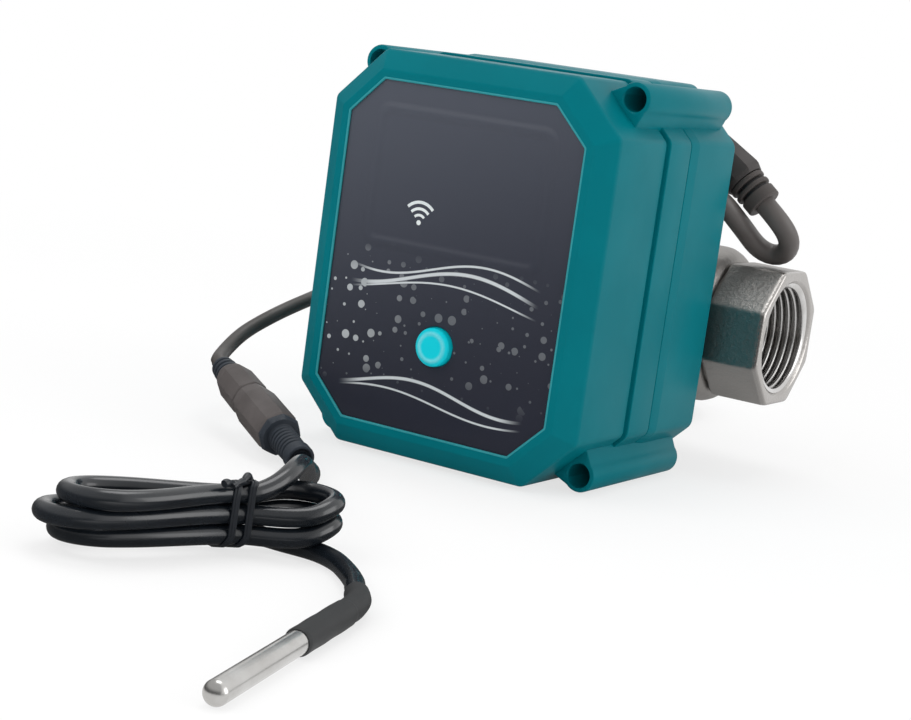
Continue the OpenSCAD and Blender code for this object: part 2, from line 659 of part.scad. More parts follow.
module second_gear() color([0.9, 0.9, 0.86]) placed() difference() {
    union() {
        gear(mid_m, mid_teeth, 0, mid_d0, mid_d1, second_pos);
        gear(out_m, pinion_teeth, mesh_phase(second_turn, 0, out_teeth, pinion_teeth), mid_d1, out_d1, second_pos);
        rod(hub_r, plate_d1 + end_play, mid_d0, second_pos);
    }
    rod(axle_r + run, plate_d1 - past, out_d1 + past, second_pos);
}
module gear_axles() color([0.72, 0.72, 0.74]) placed() {
    rod(axle_r, plate_d0, floor_d, first_pos);
    rod(axle_r, plate_d0, floor_d, second_pos);
}
module gearbox_plate() color([0.2, 0.2, 0.22]) placed() difference() {
    prism(plate_d0, plate_d1) octagon(-plate_in);
    for (p = posts) rod(plate_screw_r + seat, plate_d0 - past, plate_d1 + past, p);
    rod(axle_r + seat, plate_d0 - past, plate_d1 + past, first_pos);
    rod(axle_r + seat, plate_d0 - past, plate_d1 + past, second_pos);
    rod(motor_boss_r + seat, plate_d0 - past, plate_d1 + past, motor_pos);
    rod(shaft_r + bush_wall + seat, plate_d0 - past, plate_d1 + past, out_pos);
    at_motor_screws(motor_screw_r + seat, plate_d0 - past, plate_d1 + past);
    at_motor_screws(motor_head_r + seat, plate_d1 - motor_head_t, plate_d1 + past);
}
module plate_screws() color([0.72, 0.72, 0.74]) placed() for (p = posts) {
    rod(plate_screw_r, plate_d0, plate_d0 + plate_screw_l, p);
    rod(plate_head_r, plate_d0 - plate_head_t, plate_d0, p);
}
module motor_screws() color([0.72, 0.72, 0.74]) placed() {
    at_motor_screws(motor_screw_r, plate_d0 - 4, plate_d1 - motor_head_t);
    at_motor_screws(motor_head_r, plate_d1 - motor_head_t, plate_d1);
}
module output_gear() color([0.9, 0.9, 0.86]) placed() difference() {
    gear(out_m, out_teeth, 0, out_d0, out_d1, out_pos);
    rod(gear_seat_r + seat, out_d0 - past, out_d1 + past, out_pos);
    for (a = [45:90:315]) rod(web_hole_r, out_d0 - past, out_d1 + past, out_pos + web_hole_at * dir(a));
}
module output_shaft() color([0.6, 0.6, 0.62]) placed() difference() {
    union() {
        rod(shaft_r, cam_d0 - 0.5, out_d0, out_pos);
        rod(gear_seat_r, out_d0, out_d1, out_pos);
        rod(collar_r, out_d1, collar_d1, out_pos);
    }
    block([2 * collar_r + past, blade_t + 2 * seat], out_d1 + 0.5, collar_d1 + past, out_pos);
}
module plate_bush() color([0.75, 0.58, 0.3]) placed() difference() {
    rod(shaft_r + bush_wall, plate_d0, plate_d1, out_pos);
    rod(shaft_r + run, plate_d0 - past, plate_d1 + past, out_pos);
}
module position_cam() color([0.1, 0.1, 0.11]) placed() difference() {
    prism(cam_d0, cam_d1) translate(out_pos) {
        circle(r = cam_r);
        intersection() {
            circle(r = lobe_r);
            polygon([[0, 0], 2 * lobe_r * dir(-lobe_half), 2 * lobe_r * dir(lobe_half)]);
        }
    }
    rod(shaft_r + seat, cam_d0 - past, cam_d1 + past, out_pos);
}
module limit_switches() color([0.12, 0.12, 0.13]) placed() for (a = [0, 90])
    translate([out_pos.x, 0, out_pos.y]) rotate([0, -a, 0]) {
        far = lobe_r + clear + limit_nub_l;
        translate([far, plate_d0 - limit_size.y, -limit_size.z / 2]) cube(limit_size);
        translate([far - limit_nub_l, cam_d0 + cam_t / 2, 0]) rotate([0, 90, 0]) cylinder(r = limit_nub_r, h = limit_nub_l);
    }

// Ball valve
module end_block(x0, x1) intersection() {
    big_r = end_af / 2 / cos(22.5);
    rotate([22.5, 0, 0]) rotate([0, 90, 0]) translate([0, 0, x0]) cylinder(r = big_r, h = x1 - x0, $fn = 8);
    rotate([0, 90, 0]) rotate_extrude() polygon([[0, x0], [end_af / 2 - end_chamfer, x0],
        [big_r + 0.2, x0 + (big_r + 0.2 + end_chamfer - end_af / 2) * 0.6],
        [big_r + 0.2, x1 - (big_r + 0.2 + end_chamfer - end_af / 2) * 0.6], [end_af / 2 - end_chamfer, x1], [0, x1]]);
}
module at_pipe() translate([0, axis_d, -axis_drop]) children();
// Threaded port from the mouth inwards, with a lead chamfer; drawn at the right end
module port_cut() {
    pipe(port_r, half_l - port_l, half_l + past);
    translate([half_l - port_chamfer, axis_d, -axis_drop]) rotate([0, 90, 0])
        cylinder(r1 = port_r, r2 = port_r + port_chamfer + past, h = port_chamfer + past);
}
// Round barrel from x0 to the octagonal end, its right edge rounded
module shoulder(r, x0) at_pipe() rotate([0, 90, 0]) rotate_extrude() polygon([[0, x0], [r, x0],
    [r, shoulder_l - 1.5 * barrel_round], [r - 0.13 * barrel_round, shoulder_l - 0.9 * barrel_round],
    [r - 0.45 * barrel_round, shoulder_l - 0.35 * barrel_round], [r - barrel_round, shoulder_l], [0, shoulder_l]]);
module seats_pocket() pipe(seat_r + seat, seat_pocket, seat_x);
module valve_body() color([0.55, 0.53, 0.5]) placed() difference() {
    union() {
        at_pipe() end_block(half_l - end_l, half_l);
        pipe(neck_r, shoulder_l - past, half_l - end_l + past);
        shoulder(barrel_r, -barrel_l);
        rod(bonnet_r, back_d + flange_t / 2, axis_d, out_pos);
        block([flange_w, flange_w], back_d, back_d + flange_t, out_pos);
        rod(spigot_r, spigot_d0, back_d + flange_t / 2, out_pos);
    }
    port_cut();
    pipe(way_r + way_clear, seat_x - past, half_l);
    seats_pocket();
    pipe(cavity_r, -barrel_l, seat_pocket);
    pipe(cap_r + seat, -barrel_l - past, -cap_in);
    rod(stem_r + run, spigot_d0 - past, axis_d, out_pos);
    rod(pack_r + seat, spigot_d0 - past, pack_d1, out_pos);
    rod(stem_flange_r + run, stem_flange_d0 - 0.1, axis_d, out_pos);
    for (sx = [-1, 1]) for (sz = [-1, 1])
        rod(flange_screw_r + seat, back_d - past, back_d + flange_t + past, out_pos + flange_hole * [sx, sz]);
    difference() {
        rod(spigot_r + seal_out + seal_r + seat, back_d - past, back_d + 2 * seal_r, out_pos);
        rod(spigot_r + seal_out - seal_r - seat, back_d - 2 * past, back_d + 2 * seal_r + past, out_pos);
    }
}
module end_cap() color([0.55, 0.53, 0.5]) placed() difference() {
    union() {
        at_pipe() end_block(-half_l, end_l - half_l);
        pipe(neck_r, end_l - half_l - past, past - shoulder_l);
        mirror([1, 0, 0]) shoulder(cap_rim_r, barrel_l + cap_gasket_t);
        pipe(cap_r, -barrel_l - cap_gasket_t - past, -cap_in);
    }
    mirror([1, 0, 0]) port_cut();
    pipe(way_r + way_clear, -half_l, past - seat_x);
    mirror([1, 0, 0]) seats_pocket();
    pipe(seat_r + seat, -cap_in - past, -cap_in + past);
}
module cap_gasket() color([0.85, 0.85, 0.82]) placed() difference() {
    pipe(cap_rim_r, -barrel_l - cap_gasket_t, -barrel_l);
    pipe(cap_r + seat, -barrel_l - cap_gasket_t - past, past - barrel_l);
}
module ball() color([0.8, 0.8, 0.82]) placed() difference() {
    at_pipe() sphere(r = ball_r);
    pipe(way_r, -2 * ball_r, 2 * ball_r);
    block([4 * ball_r, tongue_t + 2 * seat], 0, tongue_d1 + 0.2, out_pos);
}
module ball_seats() color([0.93, 0.93, 0.9]) placed() for (s = [0, 1]) mirror([s, 0, 0])
    at_pipe() rotate([0, 90, 0]) rotate_extrude() difference() {
        translate([way_r + way_clear, ball_r / 3]) square([seat_r - way_r - way_clear, seat_x - ball_r / 3]);
        circle(r = ball_r + clear);
    }
module stem() color([0.6, 0.6, 0.62]) placed() {
    block([blade_w, blade_t], out_d1 + 0.7, stem_d0, out_pos);
    rod(stem_r, stem_d0, stem_flange_d0, out_pos);
    rod(stem_flange_r, stem_flange_d0, stem_flange_d1, out_pos);
    block([blade_w, tongue_t], stem_flange_d1, tongue_d1, out_pos);
}
module stem_packing() color([0.93, 0.93, 0.9]) placed() difference() {
    rod(pack_r, pack_d0, pack_d1, out_pos);
    rod(stem_r + run, pack_d0 - past, pack_d1 + past, out_pos);
}
module gland_nut() color([0.7, 0.6, 0.35]) placed() difference() {
    union() {
        rod(nut_r, spigot_d0 - nut_t, spigot_d0, out_pos);
        rod(pack_r, spigot_d0, pack_d0, out_pos);
    }
    rod(stem_r + run, spigot_d0 - nut_t - past, pack_d0 + past, out_pos);
}
module spigot_seal() color([0.06, 0.06, 0.06]) placed() translate([out_pos.x, back_d + seal_r, out_pos.y])
    rotate([90, 0, 0]) rotate_extrude() translate([spigot_r + seal_out, 0]) circle(r = seal_r);
module flange_screws() color([0.72, 0.72, 0.74]) placed() for (sx = [-1, 1]) for (sz = [-1, 1]) {
    pos = out_pos + flange_hole * [sx, sz];
    rod(flange_screw_r, floor_d, back_d + flange_t, pos);
    rod(flange_head_r, floor_d - flange_head_t, floor_d, pos);
}

// Power lead
module along_gland() translate([outlet_pos.x, back_d + gland_back, outlet_pos.y]) rotate([0, 90 + gland_pitch, 0])
    children();
module power_gland() color([0.25, 0.23, 0.21]) placed() along_gland() {
    translate([0, 0, gland_start]) cylinder(r = gland_stem_r, h = outlet_r + 0.3 - gland_start);
    for (g = gland_steps) translate([0, 0, g[3] - weld]) rotate(180 / g[2])
        cylinder(r1 = g[0], r2 = g[1], h = g[4] + weld, $fn = g[2]);
}
module power_cord() color([0.05, 0.05, 0.05]) tube(spline(concat([gland_tip, gland_tip + power_d * gland_dir],
    power_mid, [coil_entry - power_d * coil_heading, coil_entry]), 3), power_d, 8);
module power_coil() color([0.05, 0.05, 0.05]) tube(coil_path, power_d, loop_sides);
module coil_tie() color([0.08, 0.08, 0.08]) translate([coil_at.x, coil_at.y, 0]) rotate([0, 0, 80])
    tie(coil_r - coil_step * coil_turns / 2 - power_d / 2 - clear, coil_r + power_d / 2 + clear,
        layer_z(power_d, 1) + power_d / 2 + clear);
// Flat band round the layers of a lead, between x0 and x1 and up to the height top
module tie(x0, x1, top) difference() {
    translate([x0 - tie_t, -tie_w / 2, 0]) cube([x1 - x0 + 2 * tie_t, tie_w, top + tie_t]);
    translate([x0, -tie_w, tie_t]) cube([x1 - x0, 2 * tie_w, top - tie_t]);
}
// Turned shape along a line: radius, height and sides of each step
module turned(start, heading, steps) translate(start) rotate([0, acos(heading.z), atan2(heading.y, heading.x)])
    for (s = steps) {
        sunk = s[0] > steps[0][0] ? weld : 0;
        translate([0, 0, s[0] - sunk]) cylinder(r1 = s[2], r2 = s[3], h = s[1] + sunk, $fn = s[4]);
    }
module power_plug() color([0.07, 0.07, 0.07]) turned(coil_tip, coil_out, [[0, 9, 3, 3.6, 64],
    [9, 20, plug_d / 2, plug_d / 2, 64], [29, 4, plug_d / 2 - 0.6, plug_d / 2 - 0.6, 64], [33, 9.5, 2.75, 2.75, 64]]);

// Probe lead
module probe_grommet() color([0.2, 0.18, 0.17]) placed() translate([-side_x, grommet_d, grommet_z])
    rotate([0, -90, 0]) {
        translate([0, 0, -rear_grow - wall - past]) cylinder(r = grommet_hole_r, h = rear_grow + wall + past);
        cylinder(r = grommet_flange_r, h = grommet_flange_t);
        translate([0, 0, grommet_flange_t]) cylinder(r1 = 3.4, r2 = 2.3, h = grommet_l - grommet_flange_t);
    }
module probe_pigtail() color([0.25, 0.22, 0.2]) tube(spline(concat([grommet_tip, grommet_tip - [pigtail_d, 0, 0]],
    pigtail_mid, [connector_a - pigtail_d * connector_dir, connector_a]), 3), pigtail_d, 8);
module connector_socket() color([0.3, 0.27, 0.25]) turned(connector_a, connector_dir, [[0, 1.2, 2.9, 2.9, 64],
    [1.2, 1, 2.2, 2.2, 64], [2.2, 1.2, 3, 3, 64], [3.4, 1, 2.2, 2.2, 64], [4.4, 1.2, 3.2, 3.2, 64],
    [5.6, 12, 3.7, 4.5, 8], [17.6, 1.4, 3.9, 3.9, 64]]);
module connector_plug() color([0.22, 0.2, 0.19]) turned(connector_a, connector_dir, [[19, 3, 4.5, 4.9, 8],
    [22, 14, 4.9, 4.7, 8], [36, 1.8, 4.75, 4.5, 64], [37.8, 1.6, 3.1, 3.1, 64], [39.4, 0.6, 2.7, 2.7, 64],
    [40, 1.6, 3.05, 3.05, 64], [41.6, 0.6, 2.6, 2.6, 64], [42.2, 1.6, 3, 3, 64], [43.8, 0.6, 2.6, 2.6, 64],
    [44.4, 2, 2.9, 2.9, 64], [46.4, norm(connector_b - connector_a) - 46.4, 3.15, 3.15, 64]]);
module probe_lead_near() color([0.05, 0.05, 0.05]) tube(spline(concat([connector_b, connector_b + probe_lead_d * connector_dir],
    near_mid, [hank_entry + near_straight * hank_dir, hank_entry]), 3), probe_lead_d, 8);
module probe_hank() color([0.05, 0.05, 0.05]) tube(hank_path, probe_lead_d, loop_sides);
module hank_tie() color([0.08, 0.08, 0.08]) translate([hank_at.x, hank_at.y, 0]) rotate([0, 0, hank_turn + 90]) {
    reach = hank_half + probe_lead_d / 2 + 0.3;
    tie(-reach, reach, layer_z(probe_lead_d, 2) + hank_rise + probe_lead_d / 2 + clear);
}
module probe_lead_far() color([0.05, 0.05, 0.05]) tube(spline(concat([hank_exit, hank_exit + probe_lead_d * hank_dir],
    far_mid, [sleeve_a - probe_lead_d * sleeve_dir, sleeve_a]), 3), probe_lead_d, 8);
module probe_sleeve() color([0.16, 0.16, 0.16]) {
    tube(spline(concat([sleeve_a], sleeve_mid, [probe_a, probe_a + 2 * probe_dir]), 3),
        probe_lead_d + 2 * sleeve_wall, 12);
    difference() {
        turned(probe_a, probe_dir, [[0, 1, probe_d / 2, probe_d / 2 + sleeve_wall, 64],
            [1, sleeve_l - 2, probe_d / 2 + sleeve_wall, probe_d / 2 + sleeve_wall, 64],
            [sleeve_l - 1, 1, probe_d / 2 + sleeve_wall, probe_d / 2 + 0.2, 64]]);
        turned(probe_a, probe_dir, [[sleeve_l - 8, 9, probe_d / 2 + seat, probe_d / 2 + seat, 64]]);
    }
}
module probe_tube() color([0.78, 0.78, 0.8]) turned(probe_a, probe_dir, [[sleeve_l - 8, 8 + probe_l - 1, probe_d / 2, probe_d / 2, 64],
    [sleeve_l + probe_l - 1, 1, probe_d / 2, probe_d / 2 - 0.8, 64]]);

front_cover();
label_film();
manual_button();
switch_plunger();
board_switch();
circuit_board();
radio_module();
terminal_block();
board_screws();
rear_cover();
housing_gasket();
case_screws();
gear_motor();
motor_pinion();
first_gear();
second_gear();
gear_axles();
gearbox_plate();
plate_screws();
motor_screws();
output_gear();
output_shaft();
plate_bush();
position_cam();
limit_switches();
valve_body();
end_cap();
cap_gasket();
ball();
ball_seats();
stem();
stem_packing();
gland_nut();
spigot_seal();
flange_screws();
power_gland();
power_cord();
power_coil();
coil_tie();
power_plug();
probe_grommet();
probe_pigtail();
connector_socket();
connector_plug();
probe_lead_near();
probe_hank();
hank_tie();
probe_lead_far();
probe_sleeve();
probe_tube();
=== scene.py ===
"""Looks of a motorised water valve with a wired temperature probe.

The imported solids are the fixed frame. The moulded covers, the film, the button, the castings with their pipe
threads, and the leads with their connectors, ties and probe are surfaces worked out with numpy in the same
frame. Every other solid keeps its shape and gets a finish.

Sizes are millimetres in the part's frame, or in the housing's own places: x to the right, depth behind the
label, z up from the label's middle. Meshes are in metres.
"""

import logging
import math
from dataclasses import dataclass
from enum import Enum
from typing import Sequence

import bmesh
import bpy
import numpy as np
from mathutils import Matrix, Vector


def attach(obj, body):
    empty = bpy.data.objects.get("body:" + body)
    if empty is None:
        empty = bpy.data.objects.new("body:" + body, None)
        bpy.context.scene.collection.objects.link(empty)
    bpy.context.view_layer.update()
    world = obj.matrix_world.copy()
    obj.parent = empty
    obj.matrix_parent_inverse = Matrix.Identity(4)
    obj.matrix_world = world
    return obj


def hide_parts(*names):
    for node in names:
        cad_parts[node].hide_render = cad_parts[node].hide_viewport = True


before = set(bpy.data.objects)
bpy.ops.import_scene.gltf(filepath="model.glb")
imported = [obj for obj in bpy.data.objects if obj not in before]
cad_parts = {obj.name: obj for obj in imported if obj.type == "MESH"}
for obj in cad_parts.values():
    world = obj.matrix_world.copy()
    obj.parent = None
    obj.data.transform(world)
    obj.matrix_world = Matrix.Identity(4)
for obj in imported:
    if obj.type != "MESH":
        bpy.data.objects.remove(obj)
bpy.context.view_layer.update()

log = logging.getLogger("water_valve")

Array = np.ndarray
Socket = bpy.types.NodeSocket
Sockets = bpy.types.NodeOutputs
Colour = tuple[float, float, float]
Point = tuple[float, float, float]
Route = tuple[Point, ...]
Rows = Sequence[tuple[float, ...]]

# Places and sizes that more than one class uses
MM = 0.001
MID_Z = 45.3
HOUSING_ORIGIN = np.array([0.0, -49.0, MID_Z])
PIPE_Y, PIPE_Z = 32.0, 34.0
PIPE_HALF = 48.5
PORT_R = 13.22
BUTTON_DROP = 18.0
OUTLET_X, OUTLET_Z, OUTLET_R = 18.5, 37.3, 4.2
TURN_GAP = 0.45
FLOOR_GAP = 0.9
BACKWARDS = np.array([0.0, 1.0, 0.0])
UPWARDS = np.array([0.0, 0.0, 1.0])
SQUARE = np.array([[-1.0, -1.0], [1.0, -1.0], [1.0, 1.0], [-1.0, 1.0]])

# Radius at which a turned profile meets its line
AXIS_R = 0.01

# Angles in degrees past which an edge stays sharp
SOFT_CREASE, FACET_CREASE, THREAD_CREASE = 32.0, 18.0, 50.0

BODY = "housing"


def linear(*display: int) -> Colour:
    """Turns a display colour into scene values.

    Args:
        *display: Red, green and blue from 0 to 255.

    Returns:
        The three scene-linear values.
    """
    part = np.array(display) / 255.0
    value = np.where(part <= 0.04045, part / 12.92, ((part + 0.055) / 1.055) ** 2.4)
    return tuple(float(v) for v in value)


# Surfaces on grids


def unit(v: Array) -> Array:
    """Vectors of length one along the last axis."""
    return v / np.linalg.norm(v, axis=-1, keepdims=True)


def ease(t: Array) -> Array:
    """Half a cosine from 0 to 1, held at both ends."""
    return 0.5 - 0.5 * np.cos(np.pi * np.clip(t, 0.0, 1.0))


def spun(flat: Array, angle: float) -> Array:
    """Flat points turned about their origin by an angle in radians."""
    c, s = math.cos(angle), math.sin(angle)
    return flat @ np.array([[c, s], [-s, c]])


def cells(grid: Array) -> Array:
    """The four corners of every cell of a grid, along a new third axis."""
    return np.stack([grid[:-1, :-1], grid[1:, :-1], grid[1:, 1:], grid[:-1, 1:]], axis=2)


def capped(grid: Array) -> Array:
    """A grid with its first and last rows drawn to their middles."""
    ends = grid[[0, -1]].mean(axis=1, keepdims=True) * np.ones((1, grid.shape[1], 1))
    return np.concatenate([ends[:1], grid, ends[1:]])


@dataclass
class Patch:
    """A grid of points, rows by columns, whose last column meets the first.

    Attributes:
        points: Grid of shape (rows, columns, 3), in millimetres.
        wrap_rows: Whether the last row meets the first too.
        along: Distance of each row in millimetres, for the map along a lead.
    """

    points: Array
    wrap_rows: bool = False
    along: Array | None = None

    def quads(self, start: int) -> Array:
        """Corner numbers of every cell of the grid.

        Args:
            start: Number of the grid's first point in the mesh.

        Returns:
            Rows of four corner numbers.
        """
        rows, columns = self.points.shape[:2]
        index = start + np.arange(rows * columns).reshape(rows, columns)
        if self.wrap_rows:
            index = np.vstack([index, index[:1]])
        return cells(np.hstack([index, index[:, :1]])).reshape(-1, 4)

    def map_corners(self) -> Array:
        """Map places of every cell's corners: distance along in metres, and the share of a turn round.

        Returns:
            Rows of eight numbers, two for each corner of a cell.
        """
        rows, columns = self.points.shape[:2]
        along = np.arange(rows) if self.along is None else self.along * MM
        along = np.append(along, along[-1]) if self.wrap_rows else along
        turn = np.arange(columns + 1) / columns
        return cells(np.stack(np.meshgrid(along, turn, indexing="ij"), axis=-1)).reshape(-1, 8)


def build_piece(name: str, patches: Sequence[Patch], crease: float) -> bpy.types.Object:
    """Puts grids into one mesh object, closes their seams and poles, and turns the faces outwards.

    Args:
        name: Name of the piece.
        patches: Closed grids that make up the piece.
        crease: Angle in degrees past which an edge stays sharp.

    Returns:
        The new object, at the origin.
    """
    sizes = [p.points.shape[0] * p.points.shape[1] for p in patches]
    starts = np.concatenate([[0], np.cumsum(sizes)[:-1]]).astype(int)
    points = np.concatenate([p.points.reshape(-1, 3) for p in patches]) * MM
    faces = np.concatenate([p.quads(s) for p, s in zip(patches, starts)])
    corners = np.concatenate([p.map_corners() for p in patches])
    mesh = bpy.data.meshes.new(name)
    mesh.from_pydata(points.tolist(), [], faces.tolist())
    mesh.uv_layers.new(name="along").data.foreach_set("uv", corners.ravel())
    work = bmesh.new()
    work.from_mesh(mesh)
    bmesh.ops.remove_doubles(work, verts=work.verts, dist=1e-7)
    bmesh.ops.dissolve_degenerate(work, edges=work.edges, dist=1e-8)
    bmesh.ops.recalc_face_normals(work, faces=work.faces)
    work.to_mesh(mesh)
    work.free()
    mesh.shade_smooth()
    mesh.set_sharp_from_angle(angle=math.radians(crease))
    piece = bpy.data.objects.new(name, mesh)
    bpy.context.scene.collection.objects.link(piece)
    return piece


def corner_arcs(before: Array, corner: Array, after: Array, radius: Array, steps: int) -> Array:
    """Rounds corners with parabolas that touch both sides where a circle of the radius would.

    Args:
        before: Points before each corner, shape (..., 2).
        corner: The corners, shape (..., 2).
        after: Points after each corner, shape (..., 2).
        radius: Radius at each corner, shape (...).
        steps: Spans along each arc.

    Returns:
        Points of shape (..., steps + 1, 2).
    """
    back, ahead = before - corner, after - corner
    reach = np.minimum(np.linalg.norm(back, axis=-1), np.linalg.norm(ahead, axis=-1))
    cosine = np.clip(np.sum(unit(back) * unit(ahead), axis=-1), -1.0, 1.0)
    cut = np.minimum(radius / np.tan(np.arccos(cosine) / 2.0), 0.48 * reach)[..., None]
    first, last = corner + unit(back) * cut, corner + unit(ahead) * cut
    t = np.linspace(0.0, 1.0, steps + 1)[:, None]
    ends = (1 - t) ** 2 * first[..., None, :] + t**2 * last[..., None, :]
    return ends + 2 * t * (1 - t) * corner[..., None, :]


def rounded_line(points: Rows, steps: int = 4) -> Array:
    """An open line with each inner corner rounded.

    Args:
        points: Two places and a corner radius for each point; the ends' radii are not used.
        steps: Spans along each rounded corner.

    Returns:
        Points of shape (n, 2), with no two alike in a row.
    """
    line = np.array(points, dtype=float)
    arcs = corner_arcs(line[:-2, :2], line[1:-1, :2], line[2:, :2], line[1:-1, 2], steps)
    whole = np.concatenate([line[:1, :2], arcs.reshape(-1, 2), line[-1:, :2]])
    kept = np.append(True, np.linalg.norm(np.diff(whole, axis=0), axis=1) > 1e-6)
    return whole[kept]


def rounded_loops(corners: Array, radius: Array, steps: int) -> Array:
    """Closed outlines with rounded corners and straight sides split in four.

    Args:
        corners: Outlines of shape (rows, n, 2).
        radius: Corner radius of each row.
        steps: Spans along each rounded corner.

    Returns:
        Outlines of shape (rows, n * (steps + 4), 2).
    """
    spread = np.broadcast_to(radius[:, None], corners.shape[:2])
    arcs = corner_arcs(np.roll(corners, 1, axis=1), corners, np.roll(corners, -1, axis=1), spread, steps)
    gap = np.roll(arcs[:, :, 0], -1, axis=1) - arcs[:, :, -1]
    share = np.array([0.25, 0.5, 0.75])[:, None]
    sides = arcs[:, :, -1:, :] + share * gap[:, :, None, :]
    return np.concatenate([arcs, sides], axis=2).reshape(len(corners), -1, 2)


def layered(loops: Array, depths: Array, origin: Array = HOUSING_ORIGIN) -> Patch:
    """Outlines laid at their depths along Y, with the last one joined to the first.

    Args:
        loops: Outlines of shape (rows, n, 2), to the right and up.
        depths: Depth of each outline.
        origin: Point from which the places are counted.

    Returns:
        The closed grid.
    """
    deep = np.broadcast_to(np.asarray(depths)[:, None], loops.shape[:2])
    return Patch(origin + np.stack([loops[..., 0], deep, loops[..., 1]], axis=2), wrap_rows=True)


def catmull(points: Sequence[Array], steps: int) -> Array:
    """A smooth path through points whose first and last spans stay straight.

    Args:
        points: Points of the path, each of three numbers.
        steps: Points made on each curved span.

    Returns:
        The path's points, of shape (n, 3).
    """
    points = np.array(points)
    a, b, c, d = (p[:, None, :] for p in (points[:-3], points[1:-2], points[2:-1], points[3:]))
    t = (np.arange(steps) / steps)[None, :, None]
    curve = 0.5 * (2 * b + (c - a) * t + (2 * a - 5 * b + 4 * c - d) * t**2 + (3 * b - a - 3 * c + d) * t**3)
    return np.concatenate([points[:1], curve.reshape(-1, 3), points[-2:]])


def gone_along(path: Array) -> Array:
    """Distance gone along a path at each of its points."""
    return np.append(0.0, np.cumsum(np.linalg.norm(np.diff(path, axis=0), axis=1)))


def path_length(path: Array) -> float:
    """Length of a path in its own units."""
    return float(gone_along(path)[-1])


def even_path(path: Array, step: float) -> Array:
    """The same path with its points an even distance apart.

    Args:
        path: Points of shape (n, 3).
        step: Wished distance between points.

    Returns:
        The evenly spaced points.
    """
    gone = gone_along(path)
    places = np.linspace(0.0, gone[-1], max(2, round(gone[-1] / step)) + 1)
    return np.stack([np.interp(places, gone, path[:, i]) for i in range(3)], axis=1)


def softened(path: Array, spans: Sequence[int], step: float = 0.6) -> Array:
    """A path whose points are moved to the mean of their neighbours; straight ends stay where they are.

    Args:
        path: Points of shape (n, 3).
        spans: Neighbours taken on each side, for each time that this is done.
        step: Distance between the points before they are moved.

    Returns:
        The softened path.
    """
    path = even_path(path, step)
    for span in spans:
        longer = np.pad(path, ((span, span), (0, 0)), mode="reflect", reflect_type="odd")
        window = np.ones(2 * span + 1) / (2 * span + 1)
        path = np.stack([np.convolve(longer[:, i], window, mode="valid") for i in range(3)], axis=1)
    return path


def across(heading: Array) -> Array:
    """A level direction across a heading, or one across X where the heading is steep."""
    return unit(np.cross(heading, (0.0, 0.0, 1.0) if abs(heading[2]) < 0.9 else (1.0, 0.0, 0.0)))


def tube(path: Array, outline: Array, scale: Array | float = 1.0) -> Patch:
    """A closed outline carried along a path without twist, with both ends closed in their own plane.

    Args:
        path: Points of shape (n, 3).
        outline: Outline of shape (m, 2).
        scale: Size of the outline, or its size at each point.

    Returns:
        The closed grid.
    """
    along = unit(np.gradient(path, axis=0))
    sides = [across(along[0])]
    for heading in along[1:]:
        sides.append(unit(sides[-1] - np.dot(sides[-1], heading) * heading))
    first = np.array(sides)
    second = np.cross(along, first)
    offset = outline[None, :, :1] * first[:, None] + outline[None, :, 1:] * second[:, None]
    rings = path[:, None] + np.broadcast_to(scale, len(path))[:, None, None] * offset
    gone = gone_along(path)
    return Patch(capped(rings), along=np.concatenate([[0.0], gone, gone[-1:]]))


def circle_outline(radius: float, sides: int, groove: float = 0.0) -> Array:
    """A circle, with a shallow lengthwise groove where asked: r = radius - groove * exp(-(angle / 0.3)^2).

    Args:
        radius: Radius of the circle.
        sides: Points round it.
        groove: Depth of the groove.

    Returns:
        Outline of shape (sides, 2).
    """
    a = np.linspace(-np.pi, np.pi, sides, endpoint=False)
    r = radius - groove * np.exp(-((a / 0.3) ** 2))
    return np.stack([r * np.cos(a), r * np.sin(a)], axis=1)


@dataclass
class Lathe:
    """A line about which profiles are turned.

    Attributes:
        start: Point where the place along the line is 0.
        heading: Direction of the line.
        sides: Points round the line.
        facets: Number of flat sides of a faceted piece.
    """

    start: Array
    heading: Array
    sides: int = 48
    facets: int = 8

    def rings(self, line: Array, shares: Array | float = 0.0) -> Array:
        """Rings round the line, blended with the polygon r * cos(pi / n) / cos((a mod 2 pi / n) - pi / n).

        Args:
            line: Rows of place along and radius.
            shares: Share of the polygon, or its share in each row.

        Returns:
            Points of shape (rows, sides, 3).
        """
        first = across(self.heading)
        second = np.cross(self.heading, first)
        a = np.linspace(0.0, 2 * np.pi, self.sides, endpoint=False)
        part = 2 * np.pi / self.facets
        flat = np.cos(part / 2) / np.cos(np.mod(a, part) - part / 2)
        radius = line[:, 1:] * (1 + np.broadcast_to(shares, len(line))[:, None] * (flat - 1))
        rim = np.cos(a)[:, None] * first + np.sin(a)[:, None] * second
        return self.start + line[:, :1, None] * self.heading + radius[:, :, None] * rim

    def turned(self, rows: Rows, flats: Rows = (), steps: int = 4) -> Patch:
        """A profile with rounded corners turned about the line, and closed to the line at both ends.

        Args:
            rows: Place along, radius and corner radius of each corner of the profile.
            flats: Places along the line, and the share of facets at each of them.
            steps: Spans along each rounded corner.

        Returns:
            The closed grid.
        """
        whole = [(rows[0][0], AXIS_R, 0.0), *rows]
        if rows[-1][1] > AXIS_R:
            whole.append((rows[-1][0], AXIS_R, 0.0))
        line = rounded_line(whole, steps)
        shares = np.interp(line[:, 0], *flats) if flats else 0.0
        return Patch(capped(self.rings(line, shares)))


# Finishes


class Grain(Enum):
    """Named surface grains and the size of their features, as noise scale per metre."""

    MOULDED = 1400.0
    FILM = 5200.0
    CAST = 900.0
    JACKET = 2600.0
    SPARK = 3400.0


